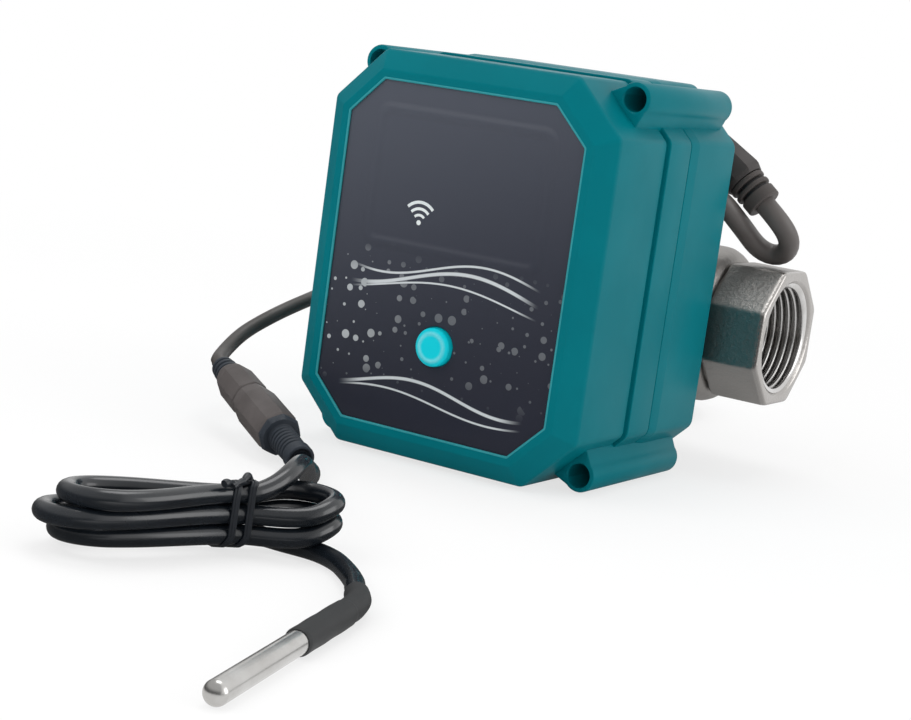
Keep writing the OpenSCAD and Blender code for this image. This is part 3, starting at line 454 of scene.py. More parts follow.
class Tree:
    """Short ways to add nodes and links to a material, a world or a group."""

    def __init__(self, tree: bpy.types.NodeTree) -> None:
        """Keeps the tree that nodes go into."""
        self.tree = tree

    def add(self, kind: str, **settings: object) -> bpy.types.Node:
        """Adds a node and sets its own settings.

        Args:
            kind: Blender's name of the node.
            **settings: Attributes to set on it.

        Returns:
            The node.
        """
        node = self.tree.nodes.new(kind)
        for key, value in settings.items():
            setattr(node, key, value)
        return node

    def feed(self, target: Socket, value: object) -> None:
        """Links a socket to a target, or sets a plain value on it.

        Args:
            target: Input that is fed.
            value: Socket, number, vector or colour.
        """
        if isinstance(value, bpy.types.NodeSocket):
            self.tree.links.new(value, target)
        elif isinstance(value, tuple) and target.type == "RGBA":
            target.default_value = (*value, 1.0)
        else:
            target.default_value = value

    def fill(self, node: bpy.types.Node, values: dict[str | int, object]) -> bpy.types.Node:
        """Feeds a node's inputs by name or number.

        Args:
            node: Node that is fed.
            values: Name or number of each input, and its socket or value.

        Returns:
            The node.
        """
        for key, value in values.items():
            self.feed(node.inputs[key], value)
        return node

    def math(self, operation: str, *values: object) -> Socket:
        """Adds a math node, and gives its output."""
        node = self.add("ShaderNodeMath", operation=operation)
        return self.fill(node, dict(enumerate(values))).outputs[0]

    def vector(self, operation: str, *values: object) -> Sockets:
        """Adds a vector math node, and gives its outputs."""
        node = self.add("ShaderNodeVectorMath", operation=operation)
        return self.fill(node, dict(enumerate(values))).outputs

    def spread(self, value: Socket, low: float, high: float, to_low: float, to_high: float) -> Socket:
        """Maps a value smoothly from the span of low to high to another span."""
        node = self.add("ShaderNodeMapRange", interpolation_type="SMOOTHSTEP")
        return self.fill(node, dict(enumerate((value, low, high, to_low, to_high)))).outputs[0]

    def mix(self, share: object, first: object, second: object) -> Socket:
        """Mixes two colours by the share of the second one."""
        node = self.add("ShaderNodeMix", data_type="RGBA")
        return self.fill(node, {0: share, 6: first, 7: second}).outputs[2]

    def noise(self, vector: Socket, scale: object, detail: float, roughness: float = 0.5) -> Socket:
        """Noise from 0 to 1, given its features per metre, its octaves and the share of the finer ones."""
        values = {"Vector": vector, "Scale": scale, "Detail": detail, "Roughness": roughness}
        return self.fill(self.add("ShaderNodeTexNoise"), values).outputs[0]

    def split(self, vector: Socket) -> Sockets:
        """The parts of a vector, by the names X, Y and Z."""
        return self.fill(self.add("ShaderNodeSeparateXYZ"), {0: vector}).outputs

    def group(self, name: str, **values: object) -> Sockets:
        """Adds a group that is already built, feeds it, and gives its outputs."""
        return self.fill(self.add("ShaderNodeGroup", node_tree=bpy.data.node_groups[name]), values).outputs


NUMBER, VECTOR = "NodeSocketFloat", "NodeSocketVector"


def new_group(
    name: str, inputs: dict[str, str], outputs: Sequence[str]
) -> tuple[Tree, Sockets, bpy.types.Node]:
    """Starts a shader node group with named sockets.

    Args:
        name: Name of the group.
        inputs: Name and kind of each input.
        outputs: Name of each output, all of them numbers.

    Returns:
        The group's tree, its inputs as sockets to read, and the node that takes its outputs.
    """
    group = bpy.data.node_groups.new(name, "ShaderNodeTree")
    for key, kind in inputs.items():
        group.interface.new_socket(name=key, in_out="INPUT", socket_type=kind)
    for key in outputs:
        group.interface.new_socket(name=key, in_out="OUTPUT", socket_type=NUMBER)
    tree = Tree(group)
    return tree, tree.add("NodeGroupInput").outputs, tree.add("NodeGroupOutput")


def grain_group() -> None:
    """Fine grain with slow clouds, for every moulded, rubber and cast surface: a height and two masks."""
    inputs = {"Vector": VECTOR, "Scale": NUMBER}
    tree, read, target = new_group("surface_grain", inputs, ("Height", "Clouds", "Speckle"))
    fine = tree.noise(read["Vector"], read["Scale"], 4.0, 0.6)
    slow = tree.noise(read["Vector"], tree.math("MULTIPLY", read["Scale"], 0.035), 3.0)
    clouds, speckle = tree.spread(slow, 0.3, 0.7, 0.0, 1.0), tree.spread(fine, 0.6, 0.8, 0.0, 1.0)
    tree.fill(target, {"Height": fine, "Clouds": clouds, "Speckle": speckle})


def tool_group() -> None:
    """Fine tool lines, which are noise stretched along one direction, and a mask of slow stains."""
    inputs = {"Vector": VECTOR, "Stretch": VECTOR}
    tree, read, target = new_group("tool_lines", inputs, ("Lines", "Stain"))
    drawn = tree.vector("MULTIPLY", read["Vector"], read["Stretch"])[0]
    stain = tree.spread(tree.noise(read["Vector"], 120.0, 4.0), 0.35, 0.7, 0.0, 1.0)
    tree.fill(target, {"Lines": tree.noise(drawn, 1.0, 5.0, 0.65), "Stain": stain})


@dataclass(frozen=True)
class Finish:
    """A finish of grained plastic or rubber.

    Attributes:
        name: Name of the material.
        colour: Main colour.
        shade: Colour in the slow clouds.
        roughness: Least roughness.
        spread: Roughness added in the clouds.
        grain: Size of the grain.
        depth: Height of the grain in millimetres.
        metallic: 1 for bare metal.
        coat: Weight of a clear coat.
        flecks: Share of pale specks in the colour.
        gleam: Level of the mirror reflection, 0.5 for plain plastic.
        coat_roughness: Roughness of the clear coat.
    """

    name: str
    colour: Colour
    shade: Colour
    roughness: float
    spread: float = 0.1
    grain: Grain = Grain.MOULDED
    depth: float = 0.004
    metallic: float = 0.0
    coat: float = 0.0
    flecks: float = 0.0
    gleam: float = 0.5
    coat_roughness: float = 0.12

    @property
    def label(self) -> str:
        """Name of the material, apart from the frame's own."""
        return f"look_{self.name}"

    def tint(self, tree: Tree, place: Socket, grain: Sockets) -> Socket:
        """Mixes the colour from the slow clouds and the pale flecks.

        Args:
            tree: Tree of the material.
            place: Place on the surface.
            grain: Outputs of the grain.

        Returns:
            The colour.
        """
        colour = tree.mix(grain["Clouds"], self.colour, self.shade)
        if not self.flecks:
            return colour
        pale = tuple(min(1.0, 1.6 * c + 0.02) for c in self.colour)
        return tree.mix(tree.math("MULTIPLY", grain["Speckle"], self.flecks), colour, pale)

    def surface(self, tree: Tree, place: Socket) -> tuple[Socket, Socket, Socket]:
        """Works out the grained surface.

        Args:
            tree: Tree of the material.
            place: Place on the surface.

        Returns:
            Its colour, roughness and height.
        """
        grain = tree.group("surface_grain", Vector=place, Scale=self.grain.value)
        rough = tree.math("MULTIPLY_ADD", grain["Clouds"], self.spread, self.roughness)
        return self.tint(tree, place, grain), rough, grain["Height"]

    def material(self) -> bpy.types.Material:
        """Builds the material from the surface's colour, roughness and height.

        Returns:
            The material.
        """
        material = bpy.data.materials.new(self.label)
        material.use_nodes = True
        tree = Tree(material.node_tree)
        colour, rough, height = self.surface(tree, tree.add("ShaderNodeTexCoord").outputs["Object"])
        values = {"Strength": 1.0, "Distance": self.depth * MM, "Height": height}
        bump = tree.fill(tree.add("ShaderNodeBump"), values)
        values = {
            "Base Color": colour,
            "Roughness": rough,
            "Normal": bump.outputs[0],
            "Metallic": self.metallic,
            "Specular IOR Level": self.gleam,
            "Coat Weight": self.coat,
            "Coat Roughness": self.coat_roughness,
        }
        tree.fill(material.node_tree.nodes["Principled BSDF"], values)
        return material


@dataclass(frozen=True)
class PaleRingCap(Finish):
    """Plastic of a pressed cap, paler in a ring along the edge of its face.

    Attributes:
        ring_colour: Colour of the pale ring.
        edge: Radius of the pale ring in millimetres.
        reach: Distance from the edge at which the pale ring ends.
        ring_share: Share of the pale colour at the edge.
    """

    ring_colour: Colour = (0.36, 0.76, 0.8)
    edge: float = 3.0
    reach: float = 0.8
    ring_share: float = 0.6

    def tint(self, tree: Tree, place: Socket, grain: Sockets) -> Socket:
        """Mixes the colour: the pale one in a soft, uneven ring about the edge of the face.

        Args:
            tree: Tree of the material.
            place: Place on the surface.
            grain: Outputs of the grain.

        Returns:
            The colour.
        """
        parts = tree.split(place)
        up = tree.math("SUBTRACT", parts["Z"], (MID_Z - BUTTON_DROP) * MM)
        square = tree.math("MULTIPLY_ADD", up, up, tree.math("MULTIPLY", parts["X"], parts["X"]))
        away = tree.math("ABSOLUTE", tree.math("SUBTRACT", tree.math("SQRT", square), self.edge * MM))
        # a paler ring about the edge of the face
        ring = tree.spread(away, 0.05 * MM, self.reach * MM, self.ring_share, 0.0)
        uneven = tree.math("MULTIPLY_ADD", grain["Height"], 0.9, 0.2)
        return tree.mix(tree.math("MULTIPLY", ring, uneven), super().tint(tree, place, grain), self.ring_colour)


@dataclass(frozen=True)
class TooledMetal(Finish):
    """Bare metal with fine tool lines.

    Attributes:
        stretch: Lines per metre along X, Y and Z; the small number is the way the lines run.
    """

    stretch: tuple[float, float, float] = (4000.0, 60.0, 60.0)
    metallic: float = 1.0

    def surface(self, tree: Tree, place: Socket) -> tuple[Socket, Socket, Socket]:
        """Works out the metal with its tool lines.

        Args:
            tree: Tree of the material.
            place: Place on the surface.

        Returns:
            Its colour, roughness and height.
        """
        lines = tree.group("tool_lines", Vector=place, Stretch=self.stretch)
        rough = tree.math("MULTIPLY_ADD", lines["Lines"], self.spread, self.roughness)
        return tree.mix(lines["Stain"], self.colour, self.shade), rough, lines["Lines"]


@dataclass(frozen=True)
class CastMetal(Finish):
    """Cast metal with shallow pits, and smoother where a tool has turned the ends.

    Attributes:
        turned_from: Distance from the middle, along X in millimetres, past which the metal is turned.
        blend: Half the distance over which one goes over to the other.
        pits: Share of the darker colour in the pits.
        brighter: Brightness of turned metal against cast metal.
        smoother: Share of roughness and height that the tool takes away.
    """

    turned_from: float = 47.4
    blend: float = 0.3
    pits: float = 0.35
    brighter: float = 1.15
    smoother: float = 0.45
    metallic: float = 1.0

    def surface(self, tree: Tree, place: Socket) -> tuple[Socket, Socket, Socket]:
        """Works out the cast metal and its turned ends.

        Args:
            tree: Tree of the material.
            place: Place on the surface.

        Returns:
            Its colour, roughness and height.
        """
        away = tree.math("ABSOLUTE", tree.split(place)["X"])
        low, high = (self.turned_from - self.blend) * MM, (self.turned_from + self.blend) * MM
        cut = tree.spread(away, low, high, 0.0, 1.0)
        smooth = tree.math("MULTIPLY_ADD", cut, -self.smoother, 1.0)
        grain = tree.group("surface_grain", Vector=place, Scale=self.grain.value)
        cast = tree.mix(grain["Clouds"], self.colour, self.shade)
        pitted = tree.mix(tree.math("MULTIPLY", grain["Speckle"], self.pits), cast, self.shade)
        bright = tuple(min(1.0, self.brighter * c) for c in self.colour)
        rough = tree.math("MULTIPLY_ADD", grain["Clouds"], self.spread, self.roughness)
        rough, height = (tree.math("MULTIPLY", value, smooth) for value in (rough, grain["Height"]))
        return tree.mix(cut, pitted, bright), rough, height


@dataclass(frozen=True)
class PrintedFilm(Finish):
    """Glossy film with a painted sheen that makes it lighter to the upper left, and a quiet print of flowing
    lines and bubbles.

    Attributes:
        ink: Colour of the print.
        flows: Level, swing, wave length over 2 pi, shift and width of each flowing line.
        flow_half: Distances from the middle between which the lines fade out.
        cell: Bubbles per metre.
        bubble_mid: Level of the band of bubbles.
        bubble_half: Distances from that level between which the bubbles fade out.
        bubble_side: Places across the film between which the bubbles grow fainter.
        sheen_tilt: Slope of the painted sheen to the left.
        sheen_span: Lowest and highest level of the painted sheen.
    """

    ink: Colour = (0.6, 0.64, 0.66)
    flows: Rows = (
        (-1.5, 2.6, 8.5, 0.4, 0.32),
        (-4.2, 3.0, 9.5, 0.9, 0.5),
        (-6.6, 2.4, 10.5, 1.4, 0.26),
        (-28.4, 2.0, 7.5, 2.2, 0.45),
        (-30.9, 1.6, 8.5, 2.9, 0.28),
    )
    flow_half: tuple[float, float] = (17.0, 24.0)
    cell: float = 300.0
    bubble_mid: float = -14.0
    bubble_half: tuple[float, float] = (7.0, 17.0)
    bubble_side: tuple[float, float] = (-24.0, -6.0)
    sheen_tilt: float = -0.35
    sheen_span: tuple[float, float] = (-50.0, 56.0)

    def band(self, tree: Tree, value: Socket, span: tuple[float, float], first: float, last: float) -> Socket:
        """Maps a place in metres smoothly, from a span in millimetres."""
        return tree.spread(value, span[0] * MM, span[1] * MM, first, last)

    def flow_lines(self, tree: Tree, x: Socket, z: Socket) -> Socket:
        """Print of thin flowing lines: |z - level - swing * sin(x / wave + shift)| under the line's width.

        Args:
            tree: Tree of the material.
            x: Place to the right, in metres.
            z: Place up, in metres.

        Returns:
            Mask of the lines.
        """
        total: object = 0.0
        for level, swing, wave, shift, width in self.flows:
            turn = tree.math("MULTIPLY_ADD", x, 1.0 / (wave * MM), shift)
            middle = tree.math("MULTIPLY_ADD", tree.math("SINE", turn), swing * MM, (level + MID_Z) * MM)
            away = tree.math("ABSOLUTE", tree.math("SUBTRACT", z, middle))
            total = tree.math("MAXIMUM", total, self.band(tree, away, (0.5 * width, width), 1.0, 0.0))
        fade = self.band(tree, tree.math("ABSOLUTE", x), self.flow_half, 1.0, 0.0)
        return tree.math("MULTIPLY", total, fade)

    def bubbles(self, tree: Tree, x: Socket, z: Socket) -> Socket:
        """Print of scattered bubbles: each cell of a flat Voronoi pattern has its own radius, in a low band.

        Args:
            tree: Tree of the material.
            x: Place to the right, in metres.
            z: Place up, in metres.

        Returns:
            Mask of the bubbles.
        """
        flat = tree.fill(tree.add("ShaderNodeCombineXYZ"), {0: x, 1: z}).outputs[0]
        pattern = tree.add("ShaderNodeTexVoronoi", feature="F1", voronoi_dimensions="2D")
        found = tree.fill(pattern, {"Vector": flat, "Scale": self.cell}).outputs
        chance = tree.fill(tree.add("ShaderNodeSeparateColor"), {0: found["Color"]}).outputs[0]
        size = tree.math("MULTIPLY_ADD", tree.math("POWER", chance, 2.0), 0.3, 0.03)
        dot = tree.spread(tree.math("SUBTRACT", size, found["Distance"]), 0.0, 0.03, 0.0, 1.0)
        level = tree.math("ABSOLUTE", tree.math("SUBTRACT", z, (MID_Z + self.bubble_mid) * MM))
        low = self.band(tree, level, self.bubble_half, 0.7, 0.0)
        side = self.band(tree, x, self.bubble_side, 1.0, 0.25)
        return tree.math("MULTIPLY", tree.math("MULTIPLY", dot, low), side)

    def tint(self, tree: Tree, place: Socket, grain: Sockets) -> Socket:
        """Mixes the film's colour with a painted sheen, which grows lighter upwards and to the left, and its
        print.

        Args:
            tree: Tree of the material.
            place: Place on the surface.
            grain: Outputs of the grain.

        Returns:
            The colour.
        """
        parts = tree.split(place)
        x, z = parts["X"], parts["Z"]
        low, high = (MID_Z + level for level in self.sheen_span)
        # painted sheen: the film's colour goes over to its lighter second colour upwards and to the left, in
        # place of a reflection
        slope = tree.math("MULTIPLY_ADD", x, self.sheen_tilt, z)
        painted_sheen = tree.math("POWER", self.band(tree, slope, (low, high), 0.0, 1.0), 1.4)
        ground = tree.mix(tree.math("MULTIPLY_ADD", grain["Speckle"], 0.12, painted_sheen), self.colour, self.shade)
        ink = tree.math("MAXIMUM", self.flow_lines(tree, x, z), self.bubbles(tree, x, z))
        return tree.mix(ink, ground, self.ink)


TEAL = Finish("teal_abs", linear(0, 113, 123), linear(0, 108, 118), 0.34, 0.08, depth=0.003, gleam=0.06)
# The film's second colour is the lighter colour of its painted sheen, at the upper left
FILM = PrintedFilm("black_film", linear(42, 44, 55), linear(82, 86, 96), 0.16, 0.05, Grain.FILM, 0.002)
PRINT = Finish("pale_print", linear(226, 232, 232), linear(214, 222, 224), 0.4, 0.05, Grain.FILM, 0.001)
# Lighter teal for the rim's lip: a painted highlight along the edge round the film
LIP_HIGHLIGHT = Finish("teal_lip_painted_highlight", linear(46, 152, 160), linear(40, 144, 152), 0.3, 0.08, depth=0.002, gleam=0.4)
BUTTON = PaleRingCap(
    "turquoise_button", linear(0, 211, 226), linear(2, 204, 219), 0.36, 0.08, depth=0.003, gleam=0.15
)
STAINLESS = TooledMetal(
    "machined_stainless", linear(158, 153, 150), linear(134, 129, 126), 0.34, 0.16, depth=0.006
)
CAST = CastMetal("cast_stainless", linear(166, 163, 160), linear(146, 143, 140), 0.44, 0.1, Grain.CAST, 0.16)
THREAD = TooledMetal("cut_thread", linear(214, 213, 212), linear(196, 194, 192), 0.14, 0.12, depth=0.003)
PROBE = TooledMetal("polished_probe", linear(204, 203, 201), linear(188, 186, 183), 0.18, 0.12, depth=0.003)
SCREW = TooledMetal("zinc_screw", linear(190, 190, 192), linear(170, 170, 174), 0.22, 0.15, depth=0.003)
BRASS = TooledMetal("turned_brass", linear(214, 176, 104), linear(196, 156, 88), 0.2, 0.15, depth=0.003)
GREY_JACKET = Finish("grey_jacket", linear(74, 70, 68), linear(67, 63, 61), 0.4, 0.1, Grain.JACKET, 0.004)
# A lighter copy of the grey jacket for the power lead: painted light, where the lead lies behind the housing
GREY_JACKET_LIT = Finish("grey_jacket_painted_light", linear(92, 87, 85), linear(84, 79, 77), 0.4, 0.1, Grain.JACKET, 0.004)
BLACK_JACKET = Finish(
    "black_jacket", linear(17, 22, 27), linear(22, 27, 33),
    0.22, 0.06, Grain.JACKET, 0.003, coat=0.25, gleam=0.6,
)
CONNECTOR = Finish(
    "connector_plastic", linear(91, 86, 85), linear(81, 76, 75),
    0.52, 0.1, Grain.SPARK, 0.03, flecks=0.35, gleam=0.35,
)
GLAND = Finish(
    "gland_plastic", linear(66, 62, 61), linear(59, 55, 54),
    0.5, 0.1, Grain.SPARK, 0.02, flecks=0.3, gleam=0.35,
)
# The gland's rings are lighter than its body: a painted highlight on the ribs
GLAND_RING_LIT = Finish(
    "gland_ring_painted_highlight", linear(80, 75, 73), linear(71, 66, 64), 0.5, 0.1, Grain.SPARK, 0.015, flecks=0.2, gleam=0.35
)
RELIEF = Finish(
    "relief_rubber", linear(40, 46, 54), linear(48, 54, 62),
    0.45, 0.12, Grain.SPARK, 0.008, flecks=0.2, gleam=0.4,
)
# Near-black core of the gland: painted shade in the grooves between its rings
GLAND_CORE_SHADE = Finish("gland_core_painted_shade", linear(26, 26, 29), linear(32, 32, 34), 0.38, 0.1, Grain.SPARK, 0.005)
SHRINK = Finish(
    "shrink_sleeve", linear(46, 47, 48), linear(53, 54, 55), 0.55, 0.1, Grain.JACKET, 0.01, gleam=0.25
)
TIE = Finish("tie_plastic", linear(22, 26, 31), linear(32, 36, 42), 0.3, 0.1, Grain.JACKET, 0.004)
BLACK_PLASTIC = Finish("black_plastic", linear(30, 30, 32), linear(38, 38, 40), 0.5, 0.1, depth=0.006)
ACETAL = Finish("white_acetal", linear(232, 231, 222), linear(222, 220, 210), 0.42, 0.08, depth=0.003)
BOARD = Finish("board_laminate", linear(18, 92, 48), linear(14, 80, 42), 0.38, 0.08, depth=0.004, coat=0.3)
TERMINAL = Finish("terminal_plastic", linear(46, 132, 84), linear(40, 120, 76), 0.45, 0.1, depth=0.004)
SEAL = Finish("seal_rubber", linear(24, 24, 25), linear(32, 32, 33), 0.6, 0.1, depth=0.006)

NODE_FINISHES: dict[Finish, tuple[str, ...]] = {
    SCREW: ("case_screws", "board_screws", "plate_screws", "motor_screws", "flange_screws", "gear_axles"),
    STAINLESS: ("stem", "output_shaft", "gear_motor", "radio_module", "ball"),
    BRASS: ("motor_pinion", "plate_bush", "gland_nut"),
    ACETAL: ("first_gear", "second_gear", "output_gear", "cap_gasket", "ball_seats", "stem_packing"),
    BLACK_PLASTIC: ("switch_plunger", "board_switch", "gearbox_plate", "position_cam", "limit_switches"),
    BOARD: ("circuit_board",),
    TERMINAL: ("terminal_block",),
    SEAL: ("housing_gasket", "spigot_seal"),
}


def dress(piece: bpy.types.Object, finish: Finish) -> None:
    """Gives a piece one finish, building its material the first time.

    Args:
        piece: Piece that is dressed.
        finish: Its finish.
    """
    material = bpy.data.materials.get(finish.label) or finish.material()
    piece.data.materials.clear()
    piece.data.materials.append(material)


def place_piece(
    name: str,
    patches: Sequence[Patch],
    finish: Finish,
    slot: str,
    *replaces: str,
    body: str = BODY,
    crease: float = SOFT_CREASE,
) -> bpy.types.Object:
    """Builds a piece, dresses it and ties it to the frame.

    Args:
        name: Name of the piece.
        patches: Its closed grids.
        finish: Its finish.
        slot: The record's material slot; not used.
        *replaces: Solids that it stands for.
        body: Body that it rides on.
        crease: Angle past which an edge stays sharp.

    Returns:
        The piece.
    """
    piece = build_piece(name, patches, crease)
    dress(piece, finish)
    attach(piece, body)
    if replaces:
        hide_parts(*replaces)
    log.info("%s: %d faces", name, len(piece.data.polygons))
    return piece


# Housing


@dataclass
class Covers:
    """The two moulded covers, the film and the button.

    Attributes:
        rim_out: Height of the rim in front of the film.
        band_d: Depth at which the wider band starts, after a groove.
        lip_step: Step out from the band to the rear cover, along a slope of lip_d.
        flat_w: Width of the flat band of a face, inside which it runs in to its hole.
        button_grow: Width and thickness of the button's flange.
        axis_drop: Distance of the valve's spigot below the label's middle.
        boss_in: Distance of a screw from the sides, across and up.
        boss_flare: Widening of a boss's web inwards.
        boss_seat_d: Depth of a counterbore's floor.
        bead: Radius of the rim's lip, and its place outwards and back from the rim's edge.
        window_bead: Width and height of the bead round the film's window.
        icon_arcs: Inner and outer radius and half angle of the signal mark's dot and arcs.
    """

    width: float = 72.0
    height: float = 88.6
    chamfer: float = 11.8
    corner_r: float = 2.2
    wall: float = 2.2
    rim_out: float = 0.5
    rim_w: float = 2.0
    bevel_w: float = 4.5
    bevel_d: float = 3.5
    band_d: float = 26.0
    band_step: float = 0.6
    groove_w: float = 1.2
    groove_in: float = 0.5
    joint_d: float = 36.5
    lip_step: float = 0.4
    lip_d: float = 3.5
    back_d: float = 60.5
    floor_t: float = 2.5
    back_bevel: float = 1.0
    flat_w: float = 6.0
    label_t: float = 0.3
    film_gap: float = 0.05
    button_r: float = 4.3
    button_out: float = 2.0
    button_grow: tuple[float, float] = (1.3, 1.0)
    spigot_r: float = 9.05
    axis_drop: float = 11.3
    boss_in: tuple[float, float] = (3.65, 3.35)
    boss_r: float = 3.75
    boss_flare: float = 1.6
    boss_d: float = 13.4
    boss_bore_r: float = 2.65
    boss_seat_d: float = 28.0
    boss_back: float = 20.5
    outlet_l: float = 17.9
    bead: Point = (0.3, 0.12, 0.22)
    window_at: tuple[float, float] = (0.3, 17.0)
    window_half: tuple[float, float] = (23.4, 16.4)
    window_r: float = 4.6
    window_bead: tuple[float, float] = (3.6, 0.32)
    icon_at: tuple[float, float] = (-8.4, 8.0)
    icon_arcs: Rows = ((0.02, 0.55, 180.0), (1.37, 1.95, 46.0), (2.72, 3.35, 46.0), (4.12, 4.8, 46.0))
    print_t: float = 0.03

    @property
    def film_edge(self) -> float:
        """Offset of the film's recess from the front cover's outline."""
        return -(self.bevel_w + self.rim_w)

    def octagons(self, inset: Array) -> Array:
        """Rounded octagons offset from the front cover's outline.

        Args:
            inset: Offset of each outline, positive outwards.

        Returns:
            Outlines of shape (rows, n, 2).
        """
        a, b = self.width / 2 + inset, self.height / 2 + inset
        c = self.chamfer + inset * (2 - math.sqrt(2))
        xs = np.stack([a - c, a, a, a - c, c - a, -a, -a, c - a], axis=1)
        zs = np.stack([b, b - c, c - b, -b, -b, c - b, b - c, b], axis=1)
        return rounded_loops(np.stack([xs, zs], axis=2), np.maximum(0.6, self.corner_r + inset), 5)

    def shell(self, profile: Array, drop: float, hole_r: float, depths: tuple[float, float]) -> Patch:
        """A profile of offset and depth carried round the octagon, and closed through a round hole.

        Args:
            profile: Rows of offset and depth, from the hole's outer face round to its inner face.
            drop: Distance of the hole below the label's middle.
            hole_r: Radius of the hole.
            depths: Depth of the hole's outer and inner edges.

        Returns:
            The closed grid.
        """
        loops = self.octagons(profile[:, 0])
        turn = np.arctan2(loops[:1, :, 1] + drop, loops[:1, :, 0])
        rim = np.stack([hole_r * np.cos(turn), hole_r * np.sin(turn) - drop], axis=2)
        return layered(np.concatenate([rim, loops, rim]), np.array([depths[0], *profile[:, 1], depths[1]]))

    def boss_outline(self) -> Array:
        """Outline of a screw boss about its bore: half a circle outwards and a flaring web inwards.

        Returns:
            Points of shape (n, 2), first number outwards along the diagonal.
        """
        web = (self.chamfer - sum(self.boss_in)) / math.sqrt(2) + self.wall / 2
        turn = np.radians(np.linspace(-90.0, 90.0, 33))
        round_part = self.boss_r * np.stack([np.cos(turn), np.sin(turn)], axis=1)
        share = np.linspace(0.0, 1.0, 9)[1:, None]
        side = round_part[-1] + share * (np.array([-web, self.boss_r + self.boss_flare]) - round_part[-1])
        inner = side[-1] + share[:-1] * (side[-1] * [1, -1] - side[-1])
        return np.concatenate([round_part, side, inner, side[::-1] * [1, -1]])

    def boss(self, sign_x: int, sign_z: int, rows: Rows) -> Patch:
        """A screw boss: its outline drawn in and moved in depth row by row.

        Args:
            sign_x: Side of the cover, -1 or 1.
            sign_z: Top or bottom, 1 or -1.
            rows: Depth, distance drawn in, and share of the way from the outline to the bore's circle.

        Returns:
            The closed grid.
        """
        line = self.boss_outline()
        size = np.linalg.norm(line, axis=1, keepdims=True)
        deep, drawn_in, share = np.array(rows).T[:, :, None, None]
        drawn = line * (1 - drawn_in / size)
        flat = drawn + share * (line / size * self.boss_bore_r - drawn)
        middle = np.array([self.width / 2 - self.boss_in[0], self.height / 2 - self.boss_in[1]])
        loops = spun(flat, math.atan2(sign_z, sign_x)) + middle * [sign_x, sign_z]
        return Patch(capped(layered(loops, deep[:, 0, 0]).points))

    def bosses(self, rows: Rows) -> list[Patch]:
        """The same screw boss at all four corners."""
        return [self.boss(sign_x, sign_z, rows) for sign_x in (-1, 1) for sign_z in (-1, 1)]

    def front_bosses(self) -> list[Patch]:
        """The four front bosses with their counterbores.

        Returns:
            Their closed grids.
        """
        face = self.boss_d
        rows = [(self.joint_d, 0.0, 0.0), (face + 0.5, 0.0, 0.0), (face + 0.15, 0.12, 0.0), (face, 0.45, 0.0)]
        return self.bosses([*rows, (face, 0.3, 0.88), (face + 0.3, 0.0, 1.0), (self.boss_seat_d, 0.0, 1.0)])

    def rear_bosses(self) -> list[Patch]:
        """The four rear bosses with rounded ends.

        Returns:
            Their closed grids.
        """
        end = self.joint_d + self.boss_back
        rows = [(self.joint_d, 0.0, 0.0), (end - 0.9, 0.0, 0.0), (end - 0.3, 0.25, 0.0), (end, 0.9, 0.0)]
        return self.bosses(rows)

    def front_profile(self) -> Array:
        """The front cover's wall, from the label recess outwards and back inside.

        Returns:
            Rows of offset and depth.
        """
        inset, front, step = self.film_edge, -self.rim_out, self.band_step
        groove_d = self.band_d - self.groove_w
        return rounded_line(
            [
                (inset, self.label_t, 0.0),
                (inset, front, 0.45),
                (-self.bevel_w, front, 0.8),
                (0.0, front + self.bevel_d, 1.6),
                (0.0, groove_d, 0.3),
                (-self.groove_in, groove_d, 0.15),
                (-self.groove_in, self.band_d, 0.15),
                (step, self.band_d, 0.35),
                (step, self.joint_d, 0.3),
                (-self.wall, self.joint_d, 0.1),
                (-self.wall, self.label_t + self.wall, 0.0),
            ]
        )

    def rear_profile(self) -> Array:
        """The rear cover's wall, from the spigot hole outwards and back inside.

        Returns:
            Rows of offset and depth.
        """
        grow = self.band_step + self.lip_step
        return rounded_line(
            [
                (-self.flat_w, self.back_d, 0.0),
                (grow - self.back_bevel, self.back_d, 0.7),
                (grow, self.back_d - self.back_bevel, 0.7),
                (grow, self.joint_d + self.lip_d, 1.5),
                (self.band_step, self.joint_d + 0.15, 0.2),
                (-self.wall, self.joint_d + 0.05, 0.1),
                (-self.wall, self.back_d - self.floor_t, 0.0),
            ]
        )

    def outlet_boss(self) -> Patch:
        """The round boss on the back that carries the power gland."""
        lathe = Lathe(HOUSING_ORIGIN + [OUTLET_X, self.back_d, OUTLET_Z], BACKWARDS)
        return lathe.turned([(-1.0, OUTLET_R, 0.0), (self.outlet_l, OUTLET_R, 1.2)])

    def film(self) -> Patch:
        """The film label, with a soft edge and the button's hole.

        Returns:
            The closed grid.
        """
        inset, edge = self.film_edge - self.flat_w, self.film_edge - self.film_gap
        profile = rounded_line([(inset, 0.0, 0.0), (edge, 0.0, 0.2), (edge, self.label_t, 0.0)])
        return self.shell(profile, BUTTON_DROP, self.button_r + 0.3, (0.0, self.label_t))

    def lip(self) -> Patch:
        """The fine rounded lip where the rim meets the film: a small circle carried round the octagon.

        Returns:
            The closed grid.
        """
        radius, out, back = self.bead
        a = np.linspace(0.0, 2 * np.pi, 12, endpoint=False)
        loops = self.octagons(radius * np.cos(a) + out + self.film_edge)
        return layered(loops, radius * np.sin(a) - self.rim_out + back)

    def window(self) -> Patch:
        """The bead pressed into the film round its window: h * sin^2(pi * s / w) high at s of its width w.

        Returns:
            The closed grid, whose edges lie just under the film.
        """
        wide, high = self.window_bead
        share = np.linspace(0.0, 1.0, 17)
        inset = wide * np.concatenate([[0.0], share, [1.0]])
        deep = np.concatenate([[0.1], -high * np.sin(np.pi * share) ** 2, [0.1]])
        corners = SQUARE * self.window_half - SQUARE * inset[:, None, None]
        loops = rounded_loops(corners, np.maximum(self.window_r - inset, 0.8), 8)
        return layered(loops + self.window_at, deep)

